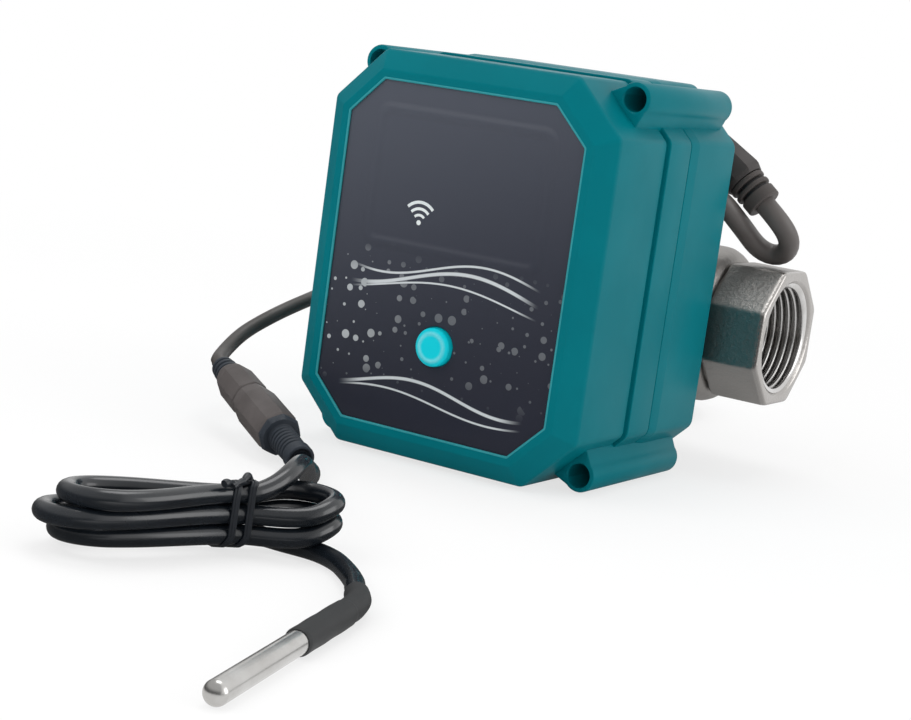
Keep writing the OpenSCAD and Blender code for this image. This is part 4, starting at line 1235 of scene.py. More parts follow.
    def button(self) -> Patch:
        """The button: a turned cap with a shallow dish inside a sloping rim, and its flange inside the cover.

        Returns:
            The closed grid.
        """
        r, seat = self.button_r, self.button_out + self.label_t + self.wall + 0.1
        wider, end = r + self.button_grow[0], seat + self.button_grow[1]
        rows = [(0.2, 0.6 * r, 0.8), (0.0, 0.7 * r, 0.5), (0.66, r, 0.8), (seat, r, 0.1)]
        lathe = Lathe(HOUSING_ORIGIN - [0.0, self.button_out, BUTTON_DROP], BACKWARDS)
        return lathe.turned([*rows, (seat, wider, 0.2), (end, wider, 0.2)])

    def icon(self) -> list[Patch]:
        """A signal mark: three arcs a quarter turn wide over a dot, each a thin raised print.

        Returns:
            Four closed grids.
        """
        patches = []
        deep = np.array([0.01, -self.print_t, -self.print_t, 0.01])
        for inner, outer, half in self.icon_arcs:
            turn = np.radians(90.0 + np.linspace(-half, half, 41))[:, None]
            radii = np.array([inner, inner, outer, outer])
            x, z = self.icon_at[0] + radii * np.cos(turn), self.icon_at[1] + radii * np.sin(turn)
            grid = np.stack([x, np.broadcast_to(deep, x.shape), z], axis=2)
            patches.append(Patch(capped(HOUSING_ORIGIN + grid)))
        return patches

    def build(self) -> None:
        """Builds and dresses the covers, film, print and button."""
        recess = (self.label_t, self.label_t + self.wall)
        front = self.shell(self.front_profile(), BUTTON_DROP, self.button_r + 0.05, recess)
        place_piece("front_shell", [front, *self.front_bosses()], TEAL, "teal_abs", "front_cover")
        floor = (self.back_d, self.back_d - self.floor_t)
        rear = self.shell(self.rear_profile(), self.axis_drop, self.spigot_r, floor)
        rear_parts = [rear, *self.rear_bosses(), self.outlet_boss()]
        place_piece("rear_shell", rear_parts, TEAL, "teal_abs", "rear_cover")
        place_piece("film_label", [self.film(), self.window()], FILM, "film", "label_film")
        # The lip is dressed lighter than the rim as a painted highlight
        place_piece("rim_lip", [self.lip()], LIP_HIGHLIGHT, "teal_abs")
        place_piece("signal_print", self.icon(), PRINT, "film")
        place_piece("button_cap", [self.button()], BUTTON, "button_plastic", "manual_button", body="button")


# Valve


@dataclass
class ValveCasting:
    """The valve's two castings: the body with its bonnet and flange, and the end cap.

    Attributes:
        sharp: Power that rounds the octagon's corners and rims: the higher, the sharper.
        neck_r: Radius of the neck beside an octagonal end.
        seat_x: Place of a ball seat's pocket along the pipe.
        flange_y: Place of the square flange's front and back.
        ring_r: Radius of the ring inside the bonnet to which the flange is carried in.
        bonnet_rows: Place along and radius round the bonnet's wall, outside first and then inside.
        shoulder_rows: Place along and drop in radius down a barrel's shoulder.
        edge_rows: Step inwards, greatest radius and half the distance across the flats at an end's edge.
        mouth_rows: Step inwards and radius at a port's mouth.
    """

    end_l: float = 14.5
    sharp: float = 130.0
    port_l: float = 17.0
    neck_r: float = 15.2
    way_r: float = 9.2
    seat_r: float = 13.62
    seat_x: float = 14.6
    barrel_r: float = 19.0
    rim_r: float = 18.0
    spigot_r: float = 15.9
    chamber_r: float = 15.0
    flange_w: float = 31.0
    flange_y: tuple[float, float] = (11.5, 15.45)
    flange_r: float = 2.5
    ring_r: float = 8.2
    bonnet_rows: Rows = (
        (9.8, 7.02), (9.8, 9.0), (13.5, 9.0), (13.5, 13.0), (18.5, 13.0), (17.6, 7.05), (15.3, 7.05),
        (15.3, 5.05), (13.5, 5.05), (13.5, 7.02),
    )
    shoulder_rows: Rows = (
        (29.0, 0.0), (30.0, 0.1), (30.8, 0.39), (31.7, 0.82), (32.45, 1.35), (33.1, 2.1), (33.5, 2.9),
    )
    edge_rows: Rows = (
        (0.0, 16.3, 15.3), (0.06, 16.65, 15.55), (0.22, 16.95, 15.8), (0.5, 17.2, 15.96), (0.9, 17.4, 16.0),
        (1.6, 18.0, 16.0),
    )
    mouth_rows: Rows = ((0.0, 14.3), (0.06, 14.1), (0.2, 13.93), (0.75, 13.38), (0.95, PORT_R))

    def rings(self, rows: Rows, side: int) -> Patch:
        """Rings round the pipe, circles or octagons with softly rounded corners.

        The radius is ((half * flat)^-p + limit^-p)^(-1/p), where flat = sum(cos(a - k pi / 4)^p)^(-1/p).

        Args:
            rows: Place along, greatest radius and, for an octagon, half the distance across its flats.
            side: 1 for the right end and -1 for the left one.

        Returns:
            The closed grid.
        """
        table, p = np.array([(*row, math.inf)[:3] for row in rows]), self.sharp
        a = np.linspace(0.0, 2 * np.pi, 352, endpoint=False)
        facing = np.maximum(np.cos(a[:, None] - np.arange(8) * np.pi / 4), 0.0)
        half = table[:, 2:] * np.sum(facing**p, axis=1) ** (-1 / p)
        radius = (half**-p + table[:, 1:2] ** -p) ** (-1 / p)
        x = np.broadcast_to(side * table[:, :1], radius.shape)
        y, z = PIPE_Y + radius * np.cos(a), PIPE_Z + radius * np.sin(a)
        return Patch(np.stack([x, y, z], axis=2), wrap_rows=True)

    def end(self, r: float) -> Rows:
        """A barrel's shoulder, its octagonal end over the mouth, and the port and the seat's pocket inside.

        Args:
            r: Radius of the barrel.

        Returns:
            Rows for the rings.
        """
        near, far = PIPE_HALF - self.end_l, PIPE_HALF
        rows = [(x, max(r - drop, self.neck_r)) for x, drop in self.shoulder_rows]
        rows += [(near - 0.44, self.neck_r), (near - 0.06, self.neck_r)]
        rows += [(near + step, *sizes) for step, *sizes in self.edge_rows]
        rows += [(far - step, *sizes) for step, *sizes in self.edge_rows[::-1]]
        rows += [(far - step, radius) for step, radius in self.mouth_rows]
        inner = far - self.port_l
        rows += [(inner, PORT_R), (inner, self.way_r + 0.5), (inner - 0.5, self.way_r)]
        return [*rows, (self.seat_x, self.way_r), (self.seat_x, self.seat_r)]

    def body(self) -> Patch:
        """The body: barrel, right end, port, seat pocket and ball chamber.

        Returns:
            The closed grid.
        """
        bore = self.spigot_r + 0.02
        rows = [(-20.0, bore), (-20.0, 18.6), (-19.7, 18.92), (-19.3, self.barrel_r)]
        chamber = [(8.0, self.seat_r), (8.0, self.chamber_r), (-9.0, self.chamber_r), (-9.0, bore)]
        return self.rings([*rows, *self.end(self.barrel_r), *chamber], 1)

    def cap(self) -> Patch:
        """The end cap: its rim, left end, port, and the spigot that goes into the body.

        Returns:
            The closed grid.
        """
        rows = [(21.0, self.spigot_r), (21.0, 17.7), (21.3, self.rim_r), *self.end(self.rim_r)]
        return self.rings([*rows, (9.0, self.seat_r), (9.0, self.spigot_r)], -1)

    def bonnet(self) -> Patch:
        """The bonnet between flange and barrel with its spigot, bored for the stem and its packing."""
        lathe = Lathe(PIPE_Z * UPWARDS, BACKWARDS, 96)
        return Patch(lathe.rings(np.array(self.bonnet_rows)), wrap_rows=True)

    def flange(self) -> Patch:
        """The square flange with rounded edges, carried in to a ring inside the bonnet.

        Returns:
            The closed grid.
        """
        half, (front, back) = self.flange_w / 2, self.flange_y
        inset = np.array([0.0, 0.0, 0.2, 0.7])
        loops = rounded_loops((half - inset)[:, None, None] * SQUARE, self.flange_r - inset, 5)
        ring = unit(loops[:1]) * self.ring_r
        deep = np.array([front, front, back - 0.7, back - 0.2, back, back])
        return layered(np.concatenate([ring, loops, ring]), deep, PIPE_Z * UPWARDS)

    def build(self) -> None:
        """Builds both castings."""
        parts = [self.body(), self.bonnet(), self.flange()]
        place_piece("body_casting", parts, CAST, "stainless", "valve_body")
        place_piece("cap_casting", [self.cap()], CAST, "stainless", "end_cap")


@dataclass
class PipeThread:
    """A parallel pipe thread cut in a port.

    Attributes:
        pitch: Distance between turns.
        depth: Height of the ridge.
        lead: Distance of the first turn from the port's mouth.
        turns: Number of turns.
        section: Place across in pitches, and height in depths, of the ridge's section.
    """

    pitch: float = 1.814
    depth: float = 1.162
    lead: float = 0.4
    turns: float = 7.9
    section: Rows = (
        (-0.5, -0.15), (-0.47, 0.0), (-0.2, 0.84), (-0.1, 0.97), (0.0, 1.0), (0.1, 0.97), (0.2, 0.84),
        (0.47, 0.0), (0.5, -0.15),
    )

    def ridge(self, side: int) -> Patch:
        """The ridge: a rounded section carried along a helix, growing from nothing at both ends.

        Args:
            side: 1 for the right port and -1 for the left one.

        Returns:
            The closed grid.
        """
        turn = np.linspace(0.0, self.turns, int(self.turns * 64) + 1)[:, None]
        grown = ease(turn / 0.35) * ease((self.turns - turn) / 0.6)
        aside, high = np.array(self.section).T
        radius = PORT_R - self.depth * np.maximum(high, 0.0) * grown - np.minimum(high, 0.0)
        place = np.minimum(PIPE_HALF - self.lead - self.pitch * (turn - aside), PIPE_HALF - 0.6)
        a = np.pi + 2 * np.pi * turn
        y, z = PIPE_Y + side * radius * np.cos(a), PIPE_Z + radius * np.sin(a)
        return Patch(capped(np.stack([side * place, y, z], axis=2)))

    def build(self) -> None:
        """Builds both threads."""
        for name, side in (("port_thread_right", 1), ("port_thread_left", -1)):
            place_piece(name, [self.ridge(side)], THREAD, "stainless", crease=THREAD_CREASE)


# Leads


@dataclass
class PowerLead:
    """The power lead: gland, loop over the pipe, coil behind the valve, and plug.

    Attributes:
        diameter: Diameter of the jacket.
        gland_d: Depth of the gland's middle line behind the label.
        pitch: Slope of the gland below level, in degrees.
        coil_r: Radius of the coil's outer turn.
        coil_start: Angle at which the coil starts, in degrees.
        tail: Length of the lead from the coil to the plug.
        strap_turn: Angle of the tie round the coil, in degrees.
        strap_half: Half the width and thickness of the tie.
        middle: Points of the lead between gland and coil.
    """

    diameter: float = 5.0
    gland_d: float = 74.0
    gland_l: float = 28.0
    pitch: float = 38.5
    coil_at: tuple[float, float] = (-32.0, 82.0)
    coil_r: float = 34.0
    coil_turns: float = 4.5
    coil_start: float = 8.0
    tail: float = 14.0
    plug_z: float = 5.4
    plug_r: float = 4.3
    strap_turn: float = 80.0
    strap_half: tuple[float, float] = (1.4, 0.36)
    middle: Route = (
        (46.4, 29.0, 57.7), (45.0, 32.0, 54.3), (41.6, 33.0, 52.8), (38.0, 31.2, 54.2), (36.1, 26.6, 57.9),
        (34.35, 21.8, 61.5), (32.4, 18.4, 64.5), (29.0, 16.2, 66.2), (22.5, 16.8, 66.2), (14.6, 21.0, 63.4),
        (7.6, 28.6, 59.8), (3.4, 37.0, 56.8), (1.8, 45.0, 52.3), (1.4, 51.2, 44.6), (1.6, 54.4, 35.0),
        (1.8, 56.6, 25.8), (2.1, 60.8, 17.4), (2.4, 68.0, 11.4),
    )

    @property
    def step(self) -> float:
        """Distance between two turns of the coil, sideways or up."""
        return self.diameter + TURN_GAP

    def gland_line(self) -> tuple[Array, Array]:
        """Start and direction of the gland: on the outlet boss's middle line, sloping down to the right.

        Returns:
            Start point and direction.
        """
        slope = math.radians(self.pitch)
        start = HOUSING_ORIGIN + [OUTLET_X, self.gland_d, OUTLET_Z]
        return start, np.array([math.cos(slope), 0.0, -math.sin(slope)])

    def layer_z(self, layer: int) -> float:
        """Height of the coil's lower (0) or upper (1) layer."""
        return FLOOR_GAP + self.diameter / 2 + layer * self.step

    def coil_points(self, turn: Array) -> Array:
        """The coil: in along the upper layer, down in half a turn at the middle, out along the lower layer.

        Args:
            turn: Turns from the coil's start.

        Returns:
            Points of shape (n, 3).
        """
        radius = self.coil_r - self.step * np.minimum(turn, self.coil_turns - turn)
        a = np.radians(self.coil_start + 360.0 * turn)
        fall = ease((turn - self.coil_turns / 2) / 0.5 + 0.5)
        x, y = self.coil_at[0] + radius * np.cos(a), self.coil_at[1] + radius * np.sin(a)
        return np.stack([x, y, self.layer_z(1) * (1 - fall) + self.layer_z(0) * fall], axis=1)

    def coil_heading(self, turn: float) -> Array:
        """Direction of the coil's turn at a place on it."""
        a = math.radians(self.coil_start + 360.0 * turn)
        return np.array([-math.sin(a), math.cos(a), 0.0])

    def path(self) -> tuple[Array, Array]:
        """The whole lead from the gland's end to the plug.

        Returns:
            The path, and its heading at the plug.
        """
        d, (start, heading) = self.diameter, self.gland_line()
        tip = start + self.gland_l * heading
        first, last = self.coil_points(np.array([0.0, self.coil_turns]))
        enter, leave = self.coil_heading(0.0), self.coil_heading(self.coil_turns)
        points = [tip, tip + d * heading, *self.middle, first - 2 * d * enter, first - d * enter]
        free = softened(catmull(points, 10), (4, 3))
        coil = self.coil_points(np.linspace(0.0, self.coil_turns, int(self.coil_turns * 72) + 1))
        share = np.linspace(0.1, 1.0, 10)[:, None]
        tail = last + share * self.tail * leave + ease(share) * (self.plug_z - self.layer_z(0)) * UPWARDS
        return np.concatenate([free, coil, tail, tail[-1:] + d * leave]), leave

    def gland(self) -> list[Patch]:
        """The gland: a faceted body, a core behind it, dressed dark as painted shade in the grooves, and two
        rings and an end collar on the core, dressed lighter as a painted highlight.

        Returns:
            Closed grids of the faceted body, the core and the three rings.
        """
        lathe = Lathe(*self.gland_line(), 64)
        r, end = OUTLET_R, self.gland_l
        body = [(r - 0.8, 3.2, 0.2), (r + 14.6, 5.4, 0.6), (r + 15.5, 5.35, 0.4), (r + 16.6, 4.7, 0.3)]
        flats = ((r, r + 2.0, r + 15.4, r + 16.5), (0.3, 1.0, 1.0, 0.3))
        pieces = [lathe.turned(body, flats), lathe.turned([(r + 16.4, 3.4, 0.1), (end - 0.6, 3.3, 0.1)])]
        rings = ((r + 16.7, r + 18.0, 4.5), (r + 18.8, r + 20.0, 4.45), (r + 20.8, end, 4.3))
        for first, last, radius in rings:
            pieces.append(lathe.turned([(first, radius, 0.35), (last, radius, 0.45)]))
        return pieces

    def plug(self, tip: Array, heading: Array) -> list[Patch]:
        """The barrel plug: tapered relief, grip and front collar, and its metal barrel.

        Args:
            tip: End of the lead.
            heading: Direction of the plug.

        Returns:
            Closed grids of the moulding and of the barrel.
        """
        lathe, r = Lathe(tip, heading), self.plug_r
        body = [(0.0, 2.8, 0.2), (9.0, 3.6, 0.4), (9.0, r, 0.8), (29.0, r, 0.4), (29.0, r - 0.6, 0.2)]
        barrel = [(32.8, 2.75, 0.1), (42.5, 2.75, 0.2), (42.5, 2.2, 0.1), (38.0, 2.2, 0.1)]
        return [lathe.turned([*body, (33.0, r - 0.6, 0.4)]), lathe.turned(barrel)]

    def tie(self) -> Patch:
        """A flat tie round the coil's far side: a thin rounded strap carried round the bundle.

        Returns:
            The closed grid.
        """
        low = self.coil_r - self.step * self.coil_turns / 2 - self.diameter / 2 - 0.2
        high = self.coil_r - 0.2 * self.step + self.diameter / 2 + 0.45
        top = self.layer_z(1) + self.diameter / 2 + 0.45
        box = np.array([[[low, 0.45], [high, 0.45], [high, top], [low, top]]])
        loop = rounded_loops(box, np.array([2.4]), 8)[0]
        a = math.radians(self.strap_turn)
        out, side = np.array([math.cos(a), math.sin(a), 0.0]), np.array([-math.sin(a), math.cos(a), 0.0])
        ring = np.array([*self.coil_at, 0.0]) + loop[:, :1] * out + loop[:, 1:] * UPWARDS
        inward = unit(np.cross(side, np.roll(ring, -1, axis=0) - np.roll(ring, 1, axis=0)))
        strap = rounded_loops((SQUARE * self.strap_half)[None], np.array([0.3]), 3)[0]
        grid = ring[:, None] + strap[None, :, :1] * side + strap[None, :, 1:] * inward[:, None]
        return Patch(grid, wrap_rows=True)

    def build(self) -> None:
        path, leave = self.path()
        jacket = tube(even_path(path, 1.2), circle_outline(self.diameter / 2, 24))
        # The power lead wears the grey jacket made lighter, as painted light
        lead = place_piece("power_lead", [jacket], GREY_JACKET_LIT, "grey_pvc", "power_cord", "power_coil")
        body, barrel = self.plug(path[-1], leave)
        plug = place_piece("power_plug_body", [body], BLACK_PLASTIC, "black_plastic", "power_plug")
        tip = place_piece("power_plug_barrel", [barrel], SCREW, "zinc_screw")
        tie = place_piece("coil_strap", [self.tie()], TIE, "black_plastic", "coil_tie")
        faceted, core, *rings = self.gland()
        place_piece("gland_body", [faceted], GLAND, "grey_rubber", "power_gland", crease=FACET_CREASE)
        # The core is dressed near-black as painted shade in the grooves between the rings
        place_piece("gland_core", [core], GLAND_CORE_SHADE, "grey_rubber")
        # The rings are dressed lighter than the body as a painted highlight
        place_piece("gland_rings", rings, GLAND_RING_LIT, "grey_rubber")
        log.info("power lead: %.3f m", path_length(path) * MM)


@dataclass
class ProbeLead:
    """The probe lead: grommet, pigtail, connector pair, hank with its tie, sleeve and steel probe.

    Attributes:
        groove: Depth of the groove along the pigtail.
        connector_a: End of the connector pair towards the housing.
        sleeve_a: Point where the lead goes into the sleeve.
        probe_b: A point on the probe's middle line.
        sleeve_over: Length of the straight part over which the bend is drawn.
        hank_turn: Angle of the hank, in degrees.
        hank_right: Distance of the right folds from the waist.
        hank_left: Distance of each loop's left fold from the waist.
        hank_aside: Shift of each loop's left fold to the side.
        hank_rise: Height that a loop loses at its left fold.
        hank_join: Distance from the waist at which the lead joins the hank.
        row: Height of one loop over the next.
        tie_slide: Turns of the twist tie, and its place along the waist at each of them.
        tie_section: Right half of the strip's section, from top to bottom.
    """

    diameter: float = 3.6
    pigtail_d: float = 3.4
    groove: float = 0.22
    grommet_tip: Point = (-45.0, -1.0, 28.3)
    grommet_l: float = 8.0
    connector_a: Point = (-50.0, -57.0, 13.3)
    connector_b: Point = (-9.0, -82.0, 3.6)
    sleeve_a: Point = (52.6, -152.7, 2.45)
    sleeve_bend: Route = ((55.4, -156.3, 2.6), (57.1, -160.4, 2.6))
    probe_a: Point = (58.1, -164.0, 2.6)
    probe_b: Point = (68.9, -213.1, 2.1)
    sleeve_l: float = 20.0
    sleeve_over: float = 2.0
    probe_l: float = 30.0
    probe_r: float = 2.0
    hank_at: tuple[float, float] = (20.4, -143.6)
    hank_turn: float = 57.5
    hank_right: float = 11.5
    hank_left: Point = (24.2, 27.6, 24.0)
    hank_aside: Point = (-1.5, 0.0, 2.5)
    fold_right: float = 6.4
    fold_left: float = 7.2
    hank_rise: float = 1.2
    hank_join: float = 1.5
    row: float = 3.72
    near_straight: float = 1.6
    tie_slide: Rows = (
        (0.0, 0.2, 0.42, 0.75, 1.0, 1.2, 1.42, 1.75, 2.0),
        (1.0, 1.4, -0.6, -0.9, -1.8, -1.6, -3.6, -2.4, -0.2),
    )
    tie_section: Rows = ((0.16, 0.38), (0.34, 0.2), (0.6, 0.17), (0.68, 0.0), (0.6, -0.17))
    pigtail: Route = (
        (-54.0, -2.5, 28.2), (-57.6, -8.0, 27.0), (-58.0, -16.0, 25.3), (-58.6, -27.0, 22.3),
        (-59.2, -37.0, 18.7), (-57.4, -46.0, 15.6),
    )
    near: Route = (
        (-1.6, -88.5, 3.4), (4.7, -98.3, 4.9), (11.2, -109.4, 8.2), (17.6, -120.0, 12.4),
        (22.5, -129.4, 15.0), (24.7, -136.4, 13.7),
    )
    far: Route = (
        (25.0, -135.6, 2.0), (31.6, -135.0, 1.9), (37.4, -136.9, 1.9), (42.8, -141.0, 1.9),
        (47.9, -146.3, 2.1),
    )

    @property
    def connector_dir(self) -> Array:
        """Direction of the connector pair, away from the housing."""
        return unit(np.subtract(self.connector_b, self.connector_a))

    @property
    def sleeve_dir(self) -> Array:
        """Direction in which the lead goes into the sleeve."""
        return unit(np.subtract(self.sleeve_bend[0], self.sleeve_a))

    @property
    def probe_dir(self) -> Array:
        """Direction of the straight part of the sleeve and of the probe."""
        return unit(np.subtract(self.probe_b, self.probe_a))

    @property
    def hank_dir(self) -> Array:
        """Direction along the hank, from its left folds to its right ones."""
        return self.hank_place(np.array([[1.0, 0.0, 0.0]]))[0] - [*self.hank_at, 0.0]

    @property
    def hank_half(self) -> float:
        """Half the distance between the two columns of runs at the tie."""
        return (self.diameter + TURN_GAP) / 2

    @property
    def hank_top(self) -> float:
        """Height of the middle of the hank's topmost run."""
        return FLOOR_GAP + self.diameter / 2 + 2 * self.row + self.hank_rise

    @property
    def tie_box(self) -> tuple[float, float]:
        """Half the width and the top of the box round which the twist tie is wound."""
        grow = self.diameter / 2 + 0.35
        return self.hank_half + grow, self.hank_top + grow

    def hank_height(self, turn: Array) -> Array:
        """Height along the hank: a loop falls a little at its left fold and the rest at its right one.

        Args:
            turn: Loops from the start of the top loop.

        Returns:
            Heights of the middle of the lead.
        """
        folds, ends = np.arange(3)[:, None], np.arange(1, 3)[:, None]
        little = ease(4 * (turn - folds) - 1).sum(axis=0)
        rest = ease((turn - ends + 0.08) / 0.14).sum(axis=0)
        return self.hank_top - self.hank_rise * little - (self.row - self.hank_rise) * rest

    def hank_local(self, turn: Array) -> Array:
        """The hank in its own places: near run, left fold, far run and right fold of each loop from the top.

        The runs go from the folds' radius to the columns at the tie by half a cosine of the distance.

        Args:
            turn: Loops from the start of the top loop.

        Returns:
            Points of shape (n, 3).
        """
        loop = np.minimum(2, np.floor(turn).astype(int))
        part = np.minimum(3, np.floor(4 * (turn - loop)).astype(int))
        w = 4 * (turn - loop) - part
        left, aside = np.array(self.hank_left)[loop], np.array(self.hank_aside)[loop]
        span = self.hank_right + left
        x = np.where(part == 0, self.hank_right - span * w, span * w - left)
        share = ease(np.where(x < 0, -x / left, x / self.hank_right))
        y = self.hank_half + (np.where(x < 0, self.fold_left, self.fold_right) - self.hank_half) * share
        shift = np.where(x < 0, aside * share, 0.0)
        a = np.pi * w
        left_x, right_x = -left - self.fold_left * np.sin(a), self.hank_right + self.fold_right * np.sin(a)
        left_y, right_y = aside - self.fold_left * np.cos(a), self.fold_right * np.cos(a)
        xs = np.choose(part, [x, left_x, x, right_x])
        ys = np.choose(part, [shift - y, left_y, shift + y, right_y])
        return np.stack([xs, ys, self.hank_height(turn)], axis=1)

    def hank_place(self, points: Array) -> Array:
        """Turns the hank's own places into the part's frame."""
        flat = spun(points[:, :2], math.radians(self.hank_turn)) + self.hank_at
        return np.column_stack([flat, points[:, 2]])

    def pigtail_path(self) -> Array:
        """Path of the pigtail from the grommet to the connector."""
        start, end, d = np.array(self.grommet_tip), np.array(self.connector_a), self.pigtail_d
        return catmull([start, start - [d, 0.0, 0.0], *self.pigtail, end - d * self.connector_dir, end], 12)

    def lead_path(self) -> Array:
        """Path of the probe lead from the connector through the hank to the sleeve.

        Returns:
            Points of shape (n, 3).
        """
        d, start, end = self.diameter, np.array(self.connector_b), np.array(self.sleeve_a)
        begin = (self.hank_right - self.hank_join) / (self.hank_right + self.hank_left[0]) / 4
        last = 2.5 + (self.hank_left[2] + self.hank_join) / (self.hank_right + self.hank_left[2]) / 4
        hank = self.hank_place(self.hank_local(np.linspace(begin, last, 320)))
        entry, leave, along = hank[0], hank[-1], self.hank_dir
        near = [start, start + d * self.connector_dir, *self.near, entry + self.near_straight * along, entry]
        far = [leave, leave + d * along, *self.far, end - d * self.sleeve_dir, end]
        return np.concatenate([softened(catmull(near, 12), (5, 4)), hank[1:], catmull(far, 12)[1:]])

    def grommet(self) -> Patch:
        """The grommet on the left wall: a round flange and a tapered relief with soft rings.

        Returns:
            The closed grid.
        """
        rows = [(-0.5, 4.5, 0.1), (2.0, 4.5, 0.7), (2.0, 3.4, 0.4), (3.8, 3.1, 0.2), (4.1, 2.7, 0.2)]
        rows += [(4.8, 2.7, 0.2), (5.1, 2.9, 0.2), (6.4, 2.7, 0.2), (6.7, 2.3, 0.2), (7.2, 2.3, 0.2)]
        rows += [(7.4, 2.5, 0.2), (8.0, 2.3, 0.2)]
        start = np.array(self.grommet_tip) + [self.grommet_l, 0.0, 0.0]
        return Lathe(start, np.array([-1.0, 0.0, 0.0])).turned(rows)

    def socket(self) -> list[Patch]:
        """The socket half: a ribbed neck, and a faceted body that swells towards the joint.

        Returns:
            Closed grids of the neck and of the body.
        """
        start, heading = np.array(self.connector_a), self.connector_dir
        neck = [(0.0, 2.6, 0.3), (0.9, 2.7, 0.25), (1.1, 2.2, 0.15), (1.7, 2.2, 0.15), (1.9, 2.85, 0.25)]
        neck += [(2.7, 2.85, 0.25), (2.9, 2.3, 0.15), (3.5, 2.3, 0.15), (3.7, 3.0, 0.25), (4.5, 3.0, 0.25)]
        neck += [(4.7, 2.4, 0.15), (5.2, 2.4, 0.15), (5.4, 3.1, 0.2), (5.8, 3.1, 0.2)]
        body = [(5.0, 3.0, 0.3), (6.4, 3.7, 0.7), (9.0, 4.35, 1.8), (18.3, 4.45, 0.4), (18.6, 3.9, 0.2)]
        flats = ((5.4, 8.5, 18.2, 18.6), (0.1, 0.8, 0.8, 0.0))
        faceted = Lathe(start, heading, 64).turned([*body, (19.2, 3.9, 0.0)], flats)
        return [Lathe(start, heading).turned(neck), faceted]

    def plug(self) -> list[Patch]:
        """The plug half: a faceted body, a dark collar, and a ribbed relief with an end ring.

        Returns:
            Closed grids of the body and of the relief.
        """
        lathe = Lathe(np.array(self.connector_a), self.connector_dir, 64)
        end = path_length(np.array([self.connector_a, self.connector_b]))
        body = [(19.0, 4.35, 0.3), (22.4, 4.88, 1.6), (35.3, 4.9, 0.5), (36.0, 4.5, 0.2)]
        faceted = lathe.turned(body, ((19.0, 19.4, 35.4, 36.0), (0.6, 0.8, 0.8, 0.7)))
        rows = [(35.8, 4.3, 0.1), (36.2, 4.75, 0.2), (36.9, 4.75, 0.2), (37.8, 4.2, 0.3), (37.8, 3.05, 0.2)]
        for place in np.arange(38.1, 45.6, 1.2):
            r = 3.1 - 0.035 * (place - 38.0)
            rows += [(place + 0.1, r - 0.4, 0.15), (place + 0.35, r - 0.4, 0.15)]
            rows += [(place + 0.45, r, 0.15), (place + 1.15, r, 0.15)]
        rows += [(46.4, 2.5, 0.1), (46.5, 3.15, 0.25), (end, 3.15, 0.45), (end, 2.4, 0.3)]
        rows.append((end - 1.6, 2.1, 0.2))
        return [faceted, lathe.turned(rows, ((37.7, 37.8), (0.8, 0.0)), 3)]

    def sleeve(self) -> Patch:
        """The shrink sleeve: a skin along the bent lead, a second layer over it, and a lip on the steel.

        The radius is 2.16 mm, goes up to 2.34 mm where the second layer starts, and waves by 0.03 mm.

        Returns:
            The closed grid.
        """
        start, heading = np.array(self.probe_a), self.probe_dir
        bend = catmull([self.sleeve_a, *self.sleeve_bend, start, start + self.sleeve_over * heading], 10)
        path = even_path(np.concatenate([bend, [start + self.sleeve_l * heading]]), 0.3)
        gone = np.linspace(0.0, path_length(path), len(path))
        step, left = path_length(bend) - self.sleeve_over, gone[-1] - gone
        layers = 0.16 * ease(gone / 0.6) + 0.18 * ease((gone - step) / 0.7) - 0.2 * ease(1.0 - left / 0.5)
        waves = 0.03 * np.sin(gone * 0.8) * ease(gone / 3.0) * ease(left / 3.0)
        return tube(path, circle_outline(1.0, 40), self.probe_r + layers + waves)

    def probe(self) -> Patch:
        """The steel probe: a straight tube closed by a dome, r * cos(t) at r * 0.85 * sin(t).

        Returns:
            The closed grid.
        """
        r, tip = self.probe_r, self.sleeve_l + self.probe_l
        t = np.linspace(0.0, 0.5 * np.pi, 16)
        dome = np.column_stack([tip - 0.85 * r * (1 - np.sin(t)), r * np.cos(t), 0.0 * t])
        return Lathe(np.array(self.probe_a), self.probe_dir).turned([(self.sleeve_l - 8.0, r, 0.0), *dome])

    def tie_strip(self) -> Patch:
        """The twist tie's ridged strip: its section carried twice round a box with rounded corners.

        The strip slides along the waist by a table of turns and places.

        Returns:
            The closed grid.
        """
        reach, top = self.tie_box
        box = [(-reach, top + 0.57, 2.1), (-reach, 2.5, 2.1), (reach, 0.25, 2.1), (reach, top - 1.87, 2.1)]
        start = (2.2 - reach, top - 0.07, 0.0)
        loop = rounded_line([start, *box, *box, start], 8)
        gone = gone_along(loop)
        slide = np.interp(gone / gone[-1] * 2.0, *self.tie_slide)
        soft = np.convolve(np.pad(slide, 4, mode="edge"), np.ones(9) / 9, mode="valid")
        path = even_path(self.hank_place(np.column_stack([soft, loop])), 0.25)
        heading, along = unit(np.gradient(path, axis=0)), self.hank_dir
        side = unit(along - np.sum(along * heading, axis=1, keepdims=True) * heading)[:, None]
        out = np.cross(heading[:, None], side)
        right = np.array(self.tie_section)
        strip = np.concatenate([right, [(0.0, -0.22)], right[::-1] * [-1.0, 1.0]])
        return Patch(capped(path[:, None] + strip[:, :1] * side + strip[:, 1:] * out))

    def tie_ends(self) -> list[Patch]:
        """The twist tie's two ends, twisted together on top of the near run.

        Returns:
            Their closed grids.
        """
        reach, top = self.tie_box
        t = np.linspace(0.0, 1.0, 80)
        ends = []
        for shift, length in ((0.0, 6.4), (np.pi, 4.6)):
            twist = 2 * np.pi * 1.35 * t * length / 6.4 + shift
            spread = 0.5 * ease(t / 0.15)
            x = 1.2 - length * t
            y = 2.0 - reach - 2.7 * ease(t / 0.8) + spread * np.cos(twist)
            z = top + 0.1 + 0.5 * ease(t / 0.2) - 0.8 * ease(1.25 * t - 0.25) + spread * np.sin(twist)
            thick = 0.54 + 0.16 * np.sin(9.0 * t + shift) + 0.12 * ease((t - 0.84) / 0.1)
            ends.append(tube(self.hank_place(np.stack([x, y, z], axis=1)), circle_outline(1.0, 12), thick))
        return ends

